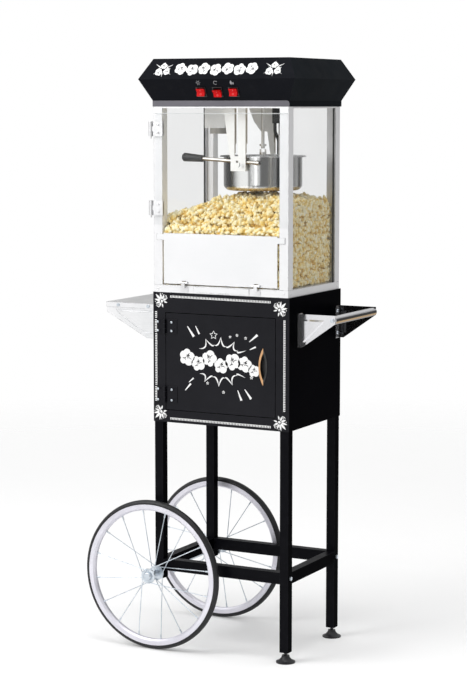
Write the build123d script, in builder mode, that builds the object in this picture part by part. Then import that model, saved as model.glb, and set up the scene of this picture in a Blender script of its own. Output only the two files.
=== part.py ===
"""Popcorn cart: a glass popping case on a steel cabinet with two spoked wheels and two levelling feet.

Millimetres, +Z up, front towards -Y, handle towards +X. Positions are written about the cabinet's
vertical axis; save() moves every piece so that the origin is the bottom centre of the whole cart.
"""

from build123d import *
from math import cos, radians, sin, sqrt
import os

os.makedirs("parts", exist_ok=True)

# ---------------------------------------------------------------- driving dimensions
TOTAL_H = 1550.0  # floor to canopy top

# stand
LEG = 24.0  # square tube
LEG_WALL = 1.5
LEG_X = 184.0  # tube centres
LEG_Y = 141.5
LEG_FOOT_Z = 27.0  # lower end of the footed legs
LEG_AXLE_Z = 185.0  # lower end of the wheeled legs
END_PLATE = 3.0
RAIL_Z0 = 207.0
RAIL_H = 30.5
BOLT_R = 3.0
BOLT_CLEAR = 0.2
BOLT_HEAD_AF = 10.0  # across flats
BOLT_HEAD_H = 4.0

# wheels
WHEEL_R = 200.0
WHEEL_Y = 187.0  # middle plane of each wheel
AXLE_X = -188.0
AXLE_R = 5.0
RUN_FIT = 0.05  # radial clearance of a turning fit
TYRE_HALF_W = 10.0
TYRE_SEAT_R = 179.1
TYRE_WIDE_R = 190.0
RIM_IN_R = 173.0
RIM_FLOOR_R = 179.0
RIM_OUT_R = 189.0
RIM_HALF_W = 9.0
RIM_SKIN = 1.5
SPOKES = 16
SPOKE_R = 1.2
SPOKE_LEAN = 62.0  # degrees between a spoke's ends, seen along the axle
SPOKE_START = 8.7  # degrees, first spoke's rim end
HUB_IN_Y = 160.3
HUB_OUT_Y = 208.3
HUB_FLANGE_R = 20.0
HUB_FLANGE_T = 3.0
HUB_BARREL_R = 9.0
CAP_NUT_R = 11.5
CAP_NUT_L = 8.0
END_FLOAT = 0.3
SPOKE_SUNK = 2.0  # how far a spoke's end stands inside the rim
AXLE_TIP = 2.0  # how far the axle stops short of the nut's end

# feet
FOOT_R = 25.0
FOOT_EDGE_H = 3.0
FOOT_H = 12.0
FOOT_NECK_R = 10.0
FOOT_NECK_Z = 19.0
STUD_R = 4.0
STUD_TOP_Z = 60.0
BELL_OUT, BELL_DROP = 5.0, 3.0  # a point on the foot's hollow flank
FOOT_COLLAR = 2.0

# cabinet
CAB_W = 396.0
CAB_D = 311.0
CAB_Z0 = 606.0
CAB_Z1 = 948.0
SHEET = 1.2
GAP = 0.1  # between nested sheets
CLEAR = 0.3  # between parts that pass one another
PAN_H = 18.0
DOOR_X0, DOOR_X1 = -160.0, 158.0
DOOR_Z0, DOOR_Z1 = 640.0, 894.0
DOOR_GAP = 2.0
DOOR_PAN = 12.0  # depth of the door's folded edge
PULL_X, PULL_Z = 124.0, 769.0
PULL_W, PULL_H, PULL_DEPTH = 18.0, 78.0, 11.0
PULL_LIP = 1.2
PULL_BORDER_W, PULL_BORDER_H = 7.0, 18.0  # how much wider and taller the lip is than the cup
POINT_SLACK = 8.0  # a lens grows this much faster in height than in width
KNUCKLE_X, KNUCKLE_Y, KNUCKLE_R = -162.0, -160.0, 4.0
KNUCKLE_CLEAR = 0.7
LEAF_T = 1.5
LEAF_REACH = 35.0
CAB_HINGES = ((659.0, 701.0), (841.0, 878.0))  # height span of each hinge
PIN_R = 1.5

# side shelf and handle
BRACKET_Y = (-107.0, 150.0)  # outer faces of the near and far plates
BRACKET_T = 1.5
BRACKET_Z0, BRACKET_Z1 = 818.0, 904.0
BRACKET_FOOT = 12.0  # length of the lower edge beside the wall
BRACKET_FLANGE = 24.0
EMBOSS = 4.0
EMBOSS_BORDER = 13.0
FIELD_TIP_LOW = (2.6, 1.7)  # the raised field's two tip corners, in borders from the plate's tip
FIELD_TIP_HIGH = (2.2, 1.0)
SHELF_FOOT = 48.0
SHELF_TIP_X = -369.0
SHELF_TOP_Z = 910.0
SHELF_SKIRT = 14.0
SHELF_SCREW_X = (-333.0, -241.0)
SHELF_SCREW_Z = 903.0
BRACKET_SCREW_INSET = 14.0
HANDLE_X, HANDLE_Z, HANDLE_R = 295.0, 891.0, 11.0
HANDLE_WALL = 1.5
HANDLE_TIP_R = 8.0
SCREW_R = 2.5
SCREW_HEAD_R, SCREW_HEAD_H = 4.5, 2.2

# popping case
CASE_X = 194.5
CASE_Y0, CASE_Y1 = -155.5, 150.5
CASE_Z0 = 948.0
BASE_H = 19.0
POST_W, POST_D, POST_WALL = 25.0, 27.0, 1.5
CASE_Z1 = 1428.0
TOP_RAIL_H = 4.0
TOP_RAIL_W = 8.5
PLATE_T = 1.2
GLASS_T = 3.0
GLASS_IN_X = 188.5
REAR_GLASS_Y = 144.0
SEAL_Y0, SEAL_Y1 = 112.0, 121.0
FLOOR_EDGE = 0.5  # the floor plate's gap to the panes
FLOOR_FRONT = 1.0
SHAFT_HOLE_SLACK, CORD_HOLE_SLACK = 2.0, 1.5

# crumb drawer
DRAWER_X0, DRAWER_X1 = -78.0, 84.0
DRAWER_Z0, DRAWER_Z1 = 950.5, 966.5
DRAWER_BACK_Y = 60.0
DRAWER_WALL = 1.0
CRUMB_COLUMNS, CRUMB_ROWS, CRUMB_PITCH = 8, 10, 15.0
CRUMB_HOLE_R, CRUMB_Y0 = 4.0, -120.0
DRAWER_FRONT_T = 1.2
DRAWER_LIP = 1.5  # height of the mouth's edge hidden behind the drawer front
GUIDE_GAP, GUIDE_OUT, GUIDE_H = 0.4, 4.0, 9.0
GUIDE_FRONT, GUIDE_BACK = 3.0, 8.0

# serving panel
PANEL_X = 165.0
PANEL_Z0, PANEL_Z1 = 971.0, 1103.0
PANEL_Y = (-157.5, -156.1)
EAR_X, EAR_Z = 186.0, (1084.0, 1100.0)
PANEL_PIN_Y, PANEL_PIN_Z, PANEL_KNUCKLE_R = -160.5, 975.0, 3.0
PANEL_HINGE_X = 105.0
LUG_HALF, LUG_GAP, KNUCKLE_L = 5.0, 0.8, 6.0
NOTCH_RISE = 1.5  # notch height above the knuckle
LUG_INSET, LUG_DROP, PIN_TAIL = 2.0, 5.0, 1.0

# glass door
GDOOR_X0, GDOOR_X1 = -190.0, 193.0
GDOOR_Z0, GDOOR_Z1 = 1124.0, 1412.0
GDOOR_Y0, GDOOR_Y1 = -162.0, -158.0
GHINGE_X, GHINGE_Y, GHINGE_R = -200.0, -160.0, 6.0
GHINGES = ((1148.0, 1186.0), (1352.0, 1390.0))
CLAMP_X = (-192.0, -164.0)
CLAMP_T = 1.5
CLAMP_ARM_HALF = 2.5
GPIN_R = 2.0
GPIN_TAIL = 6.0
PLATE_INSET = (4.0, 3.0)  # hinge plate to the post's front and back edges
PLATE_ARM = (3.0, 5.0)  # the hinge arm's reach behind the pin and behind the case front
ARM_BEND = 4.0

# kettle
KETTLE_X = 44.0
KETTLE_R = 102.5
KETTLE_Z0, KETTLE_Z1 = 1212.0, 1300.0
KETTLE_WALL = 1.5
KETTLE_FLOOR = 12.0
KETTLE_CORNER = 16.0
RIM_R = 112.5
TRUNNION_Z = 1278.0
TRUNNION_R = 4.0
TRUNNION_END = 122.0
BOSS_R, BOSS_END = 16.0, 104.9
HANGER_Y = (114.7, 117.7)
HANGER_X0, HANGER_X1, HANGER_FOOT_X0, HANGER_FOOT_Z = -11.0, 53.6, 10.5, 1264.0
HANGER_SLOT = (22.0, 32.0)
HANGER_SLOT_RISE, HANGER_SLOT_DROP = 38.0, 4.0  # above the foot and below the ceiling
HANGER_FLANGES = ((111.2, 1310.0), (106.7, 1334.0))  # each fold's inner edge and lower end
HANGER_FLANGE_T = 1.5
HANGER_EAR = ((0.0, 1428.0), (-58.0, 1428.0), (-41.0, 1388.0), (-20.0, 1362.0), (0.0, 1362.0))
HANGER_SHOULDER = (3.5, 34.0, 42.0)  # step to the left, and the heights it starts and ends at
HANGER_TAB, HANGER_TAB_T = 14.0, 2.0
HANGER_HOLE_X, HANGER_HOLE_Z, HANGER_HOLE_R = 29.5, 1288.0, 2.0
BRIDGE_HALF, BRIDGE_T, BRIDGE_INSET = 7.7, 3.0, 2.0
STIR_HOLE_HALF = 5.0
LID_R, LID_T, LID_LIFT = 111.0, 1.2, 0.4
LID_AXIS_OFF, LID_AXIS_Z, LID_KNUCKLE_R, LID_PIN_R = 9.8, 1302.1, 1.6, 0.8
LID_KNUCKLES = (30.0, 60.0)
LUG_W, LID_LUG_R, LID_LUG_TOP, LID_LUG_GAP = 3.0, 1.2, 1.0, 1.0
ROD_R, ROD_Y = 4.7, -109.7
ROD_X0, ROD_X1 = -80.0, 89.0
ROD_Z0, ROD_Z1 = 1295.0, 1284.8  # the rod falls a little to the right
COLLAR_R, COLLAR_L, COLLAR_BORE_R, COLLAR_DEPTH = 5.8, 12.0, 3.6, 9.0
GRIP_BACK, GRIP_FRONT = -52.0, 6.0  # ends of the grip along the rod, from the rod's own end
GRIP_R0, GRIP_R1, GRIP_ROUND_R, GRIP_ROUND_L = 11.3, 8.8, 3.0, 4.0
STIR_R = 5.0
STIR_Z0, STIR_REACH = 1225.5, 85.0
ARM_RISE, ARM_R = 4.0, 2.5
PADDLE_HALF, PADDLE_RISE = 1.0, 6.0
COUPLING_Z, COUPLING_H, COUPLING_R = 1304.0, 6.0, 9.0
PRONG_TOP_Z, PRONG_HALF = 1318.0, 2.5
PRONG_IN, PRONG_OUT = 3.0, 0.5  # prong faces, in from the coupling's edge
DRIVE_Z0, DRIVE_TIP_R = 1319.8, 5.0
DRIVE_DISC = (1326.0, 1331.0)
DRIVE_Z1 = 1440.0
MOTOR_HALF_X, MOTOR_HALF_Y, GEAR_H = 35.0, 28.0, 32.0
CAN_X, CAN_R, CAN_TOP = 8.0, 24.0, 75.0

# ceiling, lamp and canopy
LAMP_X, LAMP_Y = -93.0, 20.0
LAMP_SIDE, LAMP_WALL, LAMP_BORE_UP = 60.0, 1.5, 3.0
LAMP_Z0 = 1372.0
LAMP_MOUTH_Z, LAMP_MOUTH_R = 1357.0, 27.0
BULB_R = 17.0
BULB_Z = 1386.0
SKIRT_W, SKIRT_D, SKIRT_TOP_Z = 393.0, 311.0, 1443.0
WIDE_W, WIDE_D, WIDE_Z = 448.0, 366.0, 1498.0
TOP_W, TOP_D = 390.0, 307.0
SWITCH_XS = (-47.0, 0.0, 46.0)
SWITCH_Z = 1465.0
SWITCH_CUP, SWITCH_BEZEL, SWITCH_RIM, SWITCH_DEPTH, SWITCH_BACK = 24.8, 27.0, 1.4, 14.0, 1.5
ROCKER_W, ROCKER_TILT = 22.0, 10.0
ROCKER_SLACK = 0.8  # the mouth's width over the rocker's
ROCKER_PIN_R, ROCKER_PIN_L, PIN_POCKET = 1.0, 1.2, 1.0
ROCKER_PIN_DEPTH = 3.0
ROCKER_INSET, ROCKER_CREST, ROCKER_VALLEY, ROCKER_ROOT = 1.2, 8.5, 5.0, -3.0
PANEL_CUT = 5.0  # depth of the cuts through the canopy's sheet
INLET_Z, INLET_W, INLET_H, INLET_DEPTH = 1470.0, 27.0, 20.0, 18.0
INLET_FLANGE, INLET_FLANGE_T, INLET_WALL = 3.0, 2.0, 2.0
TERMINAL_HALF, TERMINAL_OUT, TERMINAL_UP = 9.0, 7.0, 8.0
JUNCTION_X, JUNCTION_Y, JUNCTION_Z = (22.5, 42.0), (96.0, 112.0), (1384.0, 1426.0)
CORD_R, CORD_X, CORD_BEND_R = 4.5, 27.0, 14.0
CORD_ROUTE = ((104.0, 1384.0), (104.0, 1362.0), (126.0, 1340.0), (126.0, 1301.0))  # (y, z)

# popcorn
HEAP_Z0 = 968.5
HEAP_INSET = 1.5  # to the panes and posts
HEAP_BACK_INSET = 2.0
HEAP_PANE = 3.0  # front face to the case front
HEAP_POST = 1.0
HEAP_LEFT_Z, HEAP_RIGHT_Z = 1148.0, 1193.0  # top at the left and right panes
HEAP_PEAK_X, HEAP_PEAK_Z = -45.0, 1200.0
HEAP_FRONT = ((-152.5, 1108.0), (-127.5, 1150.0), (-85.0, 1202.0))  # (y, z) of the front slope
HEAP_REAR = ((70.0, 1202.0), (142.0, 1166.0))

# the whole cart's middle along X, from its two outermost points
ORIGIN_SHIFT = -((AXLE_X - WHEEL_R) + (HANDLE_X + HANDLE_R)) / 2


# ---------------------------------------------------------------- helpers
def save(builder, node):
    """Moves a finished sub-part to the cart's origin, labels it and writes its file."""
    piece = builder.part.moved(Location((ORIGIN_SHIFT, 0, 0)))
    piece.label = node
    export_step(piece, f"parts/{node}.step")


def block(x, y, z, mode=Mode.ADD):
    """A box between the limits x, y and z, added to or cut from the part in hand."""
    with Locations([((x[0] + x[1]) / 2, (y[0] + y[1]) / 2, (z[0] + z[1]) / 2)]):
        Box(abs(x[1] - x[0]), abs(y[1] - y[0]), abs(z[1] - z[0]), mode=mode)


def rod(start, end, radius, mode=Mode.ADD):
    """A round bar between two points, or a bore when it is cut."""
    along = Vector(*end) - Vector(*start)
    with BuildSketch(Plane(origin=start, z_dir=along)) as section:
        Circle(radius)
    extrude(section.sketch, amount=along.length, mode=mode)


def hexagon(start, end, across):
    """A hexagonal bolt head or nut between two points."""
    along = Vector(*end) - Vector(*start)
    with BuildSketch(Plane(origin=start, z_dir=along)) as section:
        RegularPolygon(across / 2, 6, major_radius=False)
    extrude(section.sketch, amount=along.length)


def both(value):
    """The span from -value to value."""
    return (-value, value)


def beside(centre, half):
    """The span of half widths about a centre."""
    return (centre - half, centre + half)


def spin_profile(points, x, y, z, axis):
    """Revolves an outline of (radius, distance along the axis) points about an axis through x, y, z."""
    side = Plane(origin=(x, y, z), x_dir=(1, 0, 0), z_dir=(0, -1, 0))
    if axis == Axis.Y:
        side = Plane(origin=(x, y, z), x_dir=(1, 0, 0), z_dir=(0, 0, 1))
    with BuildSketch(side) as outline:
        with BuildLine():
            Polyline(points, close=True)
        make_face()
    revolve(outline.sketch, axis=Axis((x, y, z), axis.direction))


# ---------------------------------------------------------------- stand
def build_legs():
    """Four square tubes closed at both ends: two long ones with feet, two short ones on the axle."""
    half, bore = LEG / 2, LEG / 2 - LEG_WALL
    with BuildPart() as legs:
        for side in (-1, 1):
            foot = LEG_FOOT_Z if side > 0 else LEG_AXLE_Z
            for end in (-1, 1):
                x, y = side * LEG_X, end * LEG_Y
                block(beside(x, half), beside(y, half), (foot, CAB_Z0))
                block(beside(x, bore), beside(y, bore), (foot + END_PLATE, CAB_Z0 - END_PLATE), Mode.SUBTRACT)
                rod((x, y, CAB_Z0 - 2 * END_PLATE), (x, y, CAB_Z0), BOLT_R + BOLT_CLEAR, Mode.SUBTRACT)
                middle = RAIL_Z0 + RAIL_H / 2
                rod((x - half, y, middle), (x + half, y, middle), BOLT_R + BOLT_CLEAR, Mode.SUBTRACT)
                if side > 0:
                    rod((x, y, foot), (x, y, foot + 2 * END_PLATE), STUD_R + RUN_FIT, Mode.SUBTRACT)
                else:
                    rod((AXLE_X, y - half, WHEEL_R), (AXLE_X, y + half, WHEEL_R), AXLE_R + GAP, Mode.SUBTRACT)
    save(legs, "legs")


def build_rails():
    """The lower frame: front and rear tubes bolted between the legs, and welded side tubes."""
    half, z = LEG / 2, (RAIL_Z0, RAIL_Z0 + RAIL_H)
    inner = (RAIL_Z0 + LEG_WALL, RAIL_Z0 + RAIL_H - LEG_WALL)
    with BuildPart() as long_rails:
        reach = LEG_X - half
        for end in (-1, 1):
            y = end * LEG_Y
            block(both(reach), beside(y, half), z)
            block(both(reach - END_PLATE), beside(y, half - LEG_WALL), inner, Mode.SUBTRACT)
            for side in (-1, 1):
                middle = RAIL_Z0 + RAIL_H / 2
                start, stop = side * (reach - 2 * END_PLATE), side * reach
                rod((start, y, middle), (stop, y, middle), BOLT_R + BOLT_CLEAR, Mode.SUBTRACT)
    save(long_rails, "long_rails")
    with BuildPart() as cross_rails:
        reach = LEG_Y - half
        for side in (-1, 1):
            block(beside(side * LEG_X, half), both(reach), z)
            block(beside(side * LEG_X, half - LEG_WALL), both(reach), inner, Mode.SUBTRACT)
    save(cross_rails, "cross_rails")


def build_frame_bolts():
    """Hexagon bolts through the legs into the rails, and down through the cabinet floor into the legs."""
    face, middle = LEG_X + LEG / 2, RAIL_Z0 + RAIL_H / 2
    shank_end = LEG_X - LEG / 2 - 3 * END_PLATE
    floor = CAB_Z0 + SHEET
    with BuildPart() as bolts:
        for side in (-1, 1):
            for end in (-1, 1):
                y = end * LEG_Y
                rod((side * shank_end, y, middle), (side * face, y, middle), BOLT_R)
                hexagon((side * face, y, middle), (side * (face + BOLT_HEAD_H), y, middle), BOLT_HEAD_AF)
                rod((side * LEG_X, y, CAB_Z0 - 4 * END_PLATE), (side * LEG_X, y, floor), BOLT_R)
                hexagon((side * LEG_X, y, floor), (side * LEG_X, y, floor + BOLT_HEAD_H), BOLT_HEAD_AF)
    save(bolts, "frame_bolts")


def build_axle():
    """The fixed axle, its spacers beside the legs and its domed cap nuts."""
    nut = HUB_OUT_Y + END_FLOAT
    end = nut + CAP_NUT_L - AXLE_TIP
    with BuildPart() as axle:
        rod((AXLE_X, -end, WHEEL_R), (AXLE_X, end, WHEEL_R), AXLE_R)
    save(axle, "axle_rod")
    with BuildPart() as fittings:
        for side in (-1, 1):
            leg, hub = side * (LEG_Y + LEG / 2), side * (HUB_IN_Y - END_FLOAT)
            rod((AXLE_X, leg, WHEEL_R), (AXLE_X, hub, WHEEL_R), HUB_BARREL_R)
            rod((AXLE_X, leg, WHEEL_R), (AXLE_X, hub, WHEEL_R), AXLE_R + GAP, Mode.SUBTRACT)
            rod((AXLE_X, side * nut, WHEEL_R), (AXLE_X, side * (nut + CAP_NUT_L), WHEEL_R), CAP_NUT_R)
        ends = fittings.faces().filter_by(Axis.Y).sort_by(Axis.Y)
        fillet([ends[0].edges()[0], ends[-1].edges()[0]], CAP_NUT_L / 2)
        for side in (-1, 1):
            bore = ((AXLE_X, side * nut, WHEEL_R), (AXLE_X, side * (end + GAP), WHEEL_R))
            rod(*bore, AXLE_R + GAP, Mode.SUBTRACT)
    save(fittings, "axle_nuts")


# ---------------------------------------------------------------- wheels
def build_wheel(name, side):
    """One spoked wheel: a hub on two flanges, crossed spokes, a channel rim and a rubber tyre."""
    y = side * WHEEL_Y
    with BuildPart() as tyre:
        with BuildSketch(Plane(origin=(AXLE_X, y, WHEEL_R), x_dir=(1, 0, 0), z_dir=(0, 0, 1))) as section:
            with BuildLine():
                stem = RIM_HALF_W - RIM_SKIN - GAP
                Polyline(
                    (TYRE_WIDE_R, TYRE_HALF_W),
                    (RIM_OUT_R + GAP, stem),
                    (TYRE_SEAT_R, stem),
                    (TYRE_SEAT_R, -stem),
                    (RIM_OUT_R + GAP, -stem),
                    (TYRE_WIDE_R, -TYRE_HALF_W),
                )
                ThreePointArc((TYRE_WIDE_R, -TYRE_HALF_W), (WHEEL_R, 0), (TYRE_WIDE_R, TYRE_HALF_W))
            make_face()
        revolve(section.sketch, axis=Axis((AXLE_X, y, WHEEL_R), (0, 1, 0)))
    save(tyre, f"tyre_{name}")

    with BuildPart() as rim:
        outer, inner, hump = RIM_HALF_W, RIM_HALF_W - RIM_SKIN, RIM_HALF_W / 2
        spin_profile(
            [
                (RIM_IN_R, -hump),
                (RIM_IN_R, hump),
                (RIM_FLOOR_R - RIM_SKIN, outer),
                (RIM_OUT_R, outer),
                (RIM_OUT_R, inner),
                (RIM_FLOOR_R, inner),
                (RIM_FLOOR_R, -inner),
                (RIM_OUT_R, -inner),
                (RIM_OUT_R, -outer),
                (RIM_FLOOR_R - RIM_SKIN, -outer),
            ],
            AXLE_X,
            y,
            WHEEL_R,
            Axis.Y,
        )
    save(rim, f"rim_{name}")

    with BuildPart() as hub:
        bore = ((AXLE_X, side * HUB_IN_Y, WHEEL_R), (AXLE_X, side * HUB_OUT_Y, WHEEL_R))
        rod(*bore, HUB_BARREL_R)
        for flange in (HUB_IN_Y, HUB_OUT_Y - HUB_FLANGE_T):
            ends = side * flange, side * (flange + HUB_FLANGE_T)
            rod((AXLE_X, ends[0], WHEEL_R), (AXLE_X, ends[1], WHEEL_R), HUB_FLANGE_R)
        rod(*bore, AXLE_R + RUN_FIT, Mode.SUBTRACT)
    save(hub, f"hub_{name}")

    with BuildPart() as spokes:
        hub_r, rim_r = HUB_FLANGE_R - 3 * SPOKE_R, RIM_IN_R + SPOKE_SUNK
        beside_flange = HUB_FLANGE_T / 2 + SPOKE_R
        for k in range(SPOKES):
            flange = (HUB_IN_Y, HUB_OUT_Y - HUB_FLANGE_T)[k % 2] + HUB_FLANGE_T / 2
            lean = 1 if k % 4 < 2 else -1
            at_rim = radians(SPOKE_START + k * 360 / SPOKES)
            at_hub = at_rim + lean * radians(SPOKE_LEAN)
            hub_x, hub_z = AXLE_X + hub_r * cos(at_hub), WHEEL_R + hub_r * sin(at_hub)
            rim_end = (AXLE_X + rim_r * cos(at_rim), y, WHEEL_R + rim_r * sin(at_rim))
            bend = (hub_x, side * flange + lean * beside_flange, hub_z)
            head = (hub_x, side * flange - lean * beside_flange, hub_z)
            rod(bend, rim_end, SPOKE_R)
            rod(head, bend, SPOKE_R)
            with Locations(bend):
                Sphere(SPOKE_R)
    save(spokes, f"spokes_{name}")


def build_foot(name, y):
    """A bell-shaped levelling foot on a threaded stud."""
    with BuildPart() as foot:
        with BuildSketch(Plane(origin=(LEG_X, y, 0), x_dir=(1, 0, 0), z_dir=(0, -1, 0))) as outline:
            with BuildLine():
                Polyline((0, 0), (FOOT_R, 0), (FOOT_R, FOOT_EDGE_H))
                bell = (FOOT_NECK_R + BELL_OUT, FOOT_H - BELL_DROP)
                ThreePointArc((FOOT_R, FOOT_EDGE_H), bell, (FOOT_NECK_R, FOOT_NECK_Z - FOOT_COLLAR))
                Polyline(
                    (FOOT_NECK_R, FOOT_NECK_Z - FOOT_COLLAR),
                    (FOOT_NECK_R, FOOT_NECK_Z),
                    (STUD_R, FOOT_NECK_Z),
                    (STUD_R, STUD_TOP_Z),
                    (0, STUD_TOP_Z),
                    (0, 0),
                )
            make_face()
        revolve(outline.sketch, axis=Axis((LEG_X, y, 0), (0, 0, 1)))
    save(foot, name)


# ---------------------------------------------------------------- cabinet
def lens_face(width, height):
    """A pointed lens outline about the sketch's origin, upright."""
    with BuildLine() as sides:
        ThreePointArc((0, -height / 2), (width / 2, 0), (0, height / 2))
        ThreePointArc((0, height / 2), (-width / 2, 0), (0, -height / 2))
    make_face(sides.edges())


def front_plane(x, y, z):
    """A plane facing the front, with its own X to the right and Y up."""
    return Plane(origin=(x, y, z), x_dir=(1, 0, 0), z_dir=(0, -1, 0))


def bracket_screw_points():
    """Where each bracket's two screws pass the cabinet wall, as (y, z)."""
    inset = BRACKET_FLANGE / 2
    ys = (BRACKET_Y[0] + BRACKET_T + inset, BRACKET_Y[1] - BRACKET_T - inset)
    zs = (BRACKET_Z0 + BRACKET_SCREW_INSET, BRACKET_Z1 - BRACKET_SCREW_INSET)
    return [(y, z) for y in ys for z in zs]


def build_cabinet_body():
    """The sheet-steel walls with the front opening, and the floor and top pans."""
    w, d = CAB_W / 2, CAB_D / 2
    with BuildPart() as shell:
        block(both(w), both(d), (CAB_Z0, CAB_Z1))
        block(both(w - SHEET), both(d - SHEET), (CAB_Z0, CAB_Z1), Mode.SUBTRACT)
        opening_x = (DOOR_X0 - DOOR_GAP, DOOR_X1 + DOOR_GAP)
        opening_z = (DOOR_Z0 - DOOR_GAP, DOOR_Z1 + DOOR_GAP)
        block(opening_x, (-d, -d + 2 * SHEET), opening_z, Mode.SUBTRACT)
        for y, z in bracket_screw_points():
            rod((-w, y, z), (w, y, z), SCREW_R + BOLT_CLEAR, Mode.SUBTRACT)
    save(shell, "cabinet_shell")
    with BuildPart() as pans:
        inner_w, inner_d = w - SHEET - GAP, d - SHEET - GAP
        for z0, z1, hollow in (
            (CAB_Z0, CAB_Z0 + PAN_H, (CAB_Z0 + SHEET, CAB_Z0 + PAN_H)),
            (CAB_Z1 - PAN_H, CAB_Z1, (CAB_Z1 - PAN_H, CAB_Z1 - SHEET)),
        ):
            block(both(inner_w), both(inner_d), (z0, z1))
            block(both(inner_w - SHEET), both(inner_d - SHEET), hollow, Mode.SUBTRACT)
        for x in both(LEG_X):
            for y in both(LEG_Y):
                rod((x, y, CAB_Z0), (x, y, CAB_Z0 + 2 * SHEET), BOLT_R + BOLT_CLEAR, Mode.SUBTRACT)
    save(pans, "cabinet_pans")


def build_cabinet_door():
    """The door pan with its lens-shaped hole, and the recessed pull that fills the hole."""
    face = -CAB_D / 2
    with BuildPart() as door:
        block((DOOR_X0, DOOR_X1), (face, face + DOOR_PAN), (DOOR_Z0, DOOR_Z1))
        inside_x, inside_z = (DOOR_X0 + SHEET, DOOR_X1 - SHEET), (DOOR_Z0 + SHEET, DOOR_Z1 - SHEET)
        block(inside_x, (face + SHEET, face + DOOR_PAN), inside_z, Mode.SUBTRACT)
        with BuildSketch(front_plane(PULL_X, face, PULL_Z)) as hole:
            lens_face(PULL_W + 2 * GAP, PULL_H + POINT_SLACK * GAP)
        extrude(hole.sketch, amount=-2 * SHEET, mode=Mode.SUBTRACT)
    save(door, "cabinet_door")
    with BuildPart() as pull:
        with BuildSketch(front_plane(PULL_X, face, PULL_Z)) as cup:
            lens_face(PULL_W, PULL_H)
        extrude(cup.sketch, amount=-PULL_DEPTH)
        with BuildSketch(front_plane(PULL_X, face - GAP, PULL_Z)) as lip:
            lens_face(PULL_W + PULL_BORDER_W, PULL_H + PULL_BORDER_H)
        extrude(lip.sketch, amount=PULL_LIP)
        with BuildSketch(front_plane(PULL_X, face - GAP, PULL_Z)) as joint:
            lens_face(PULL_W, PULL_H)
        extrude(joint.sketch, amount=-2 * GAP)
        with BuildSketch(front_plane(PULL_X, face - 2 * PULL_LIP, PULL_Z)) as hollow:
            lens_face(PULL_W - 2 * SHEET, PULL_H - POINT_SLACK * SHEET)
        extrude(hollow.sketch, amount=-(PULL_DEPTH + PULL_LIP), mode=Mode.SUBTRACT)
    save(pull, "door_pull")


def hinge_spans(z0, z1):
    """Splits a hinge's height into a lower, a middle and an upper knuckle with small gaps."""
    third = (z1 - z0) / 3
    return (z0, z0 + third - CLEAR), (z0 + third, z1 - third), (z1 - third + CLEAR, z1)


def build_cabinet_hinges():
    """Butt hinges on the door's left edge: the wall leaves carry the pins."""
    face = -CAB_D / 2
    leaf_y = (face - LEAF_T, face)
    clear = KNUCKLE_R + KNUCKLE_CLEAR
    for name, side in (("cabinet_hinge_plates", -1), ("cabinet_door_leaves", 1)):
        with BuildPart() as leaves:
            for z0, z1 in CAB_HINGES:
                lower, middle, upper = hinge_spans(z0, z1)
                own, other = ((lower, upper), (middle,)) if side < 0 else ((middle,), (lower, upper))
                block((KNUCKLE_X, KNUCKLE_X + side * LEAF_REACH), leaf_y, (z0, z1))
                for a, b in other:
                    cut_x = (KNUCKLE_X - clear, KNUCKLE_X + clear)
                    block(cut_x, leaf_y, (a - CLEAR, b + CLEAR), Mode.SUBTRACT)
                for a, b in own:
                    rod((KNUCKLE_X, KNUCKLE_Y, a), (KNUCKLE_X, KNUCKLE_Y, b), KNUCKLE_R)
                if side < 0:
                    rod((KNUCKLE_X, KNUCKLE_Y, z0), (KNUCKLE_X, KNUCKLE_Y, z1), PIN_R)
                else:
                    a, b = middle
                    pin_hole = PIN_R + RUN_FIT
                    rod((KNUCKLE_X, KNUCKLE_Y, a), (KNUCKLE_X, KNUCKLE_Y, b), pin_hole, Mode.SUBTRACT)
        save(leaves, name)


# ---------------------------------------------------------------- shelf and handle
def polygon(plane, points, shrink=0.0):
    """A straight-sided face on a plane, drawn in by shrink all round."""
    with BuildSketch(plane) as shape:
        with BuildLine():
            Polyline(points, close=True)
        make_face()
        if shrink:
            offset(amount=-shrink, kind=Kind.INTERSECTION, mode=Mode.REPLACE)
    return shape.sketch


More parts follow.
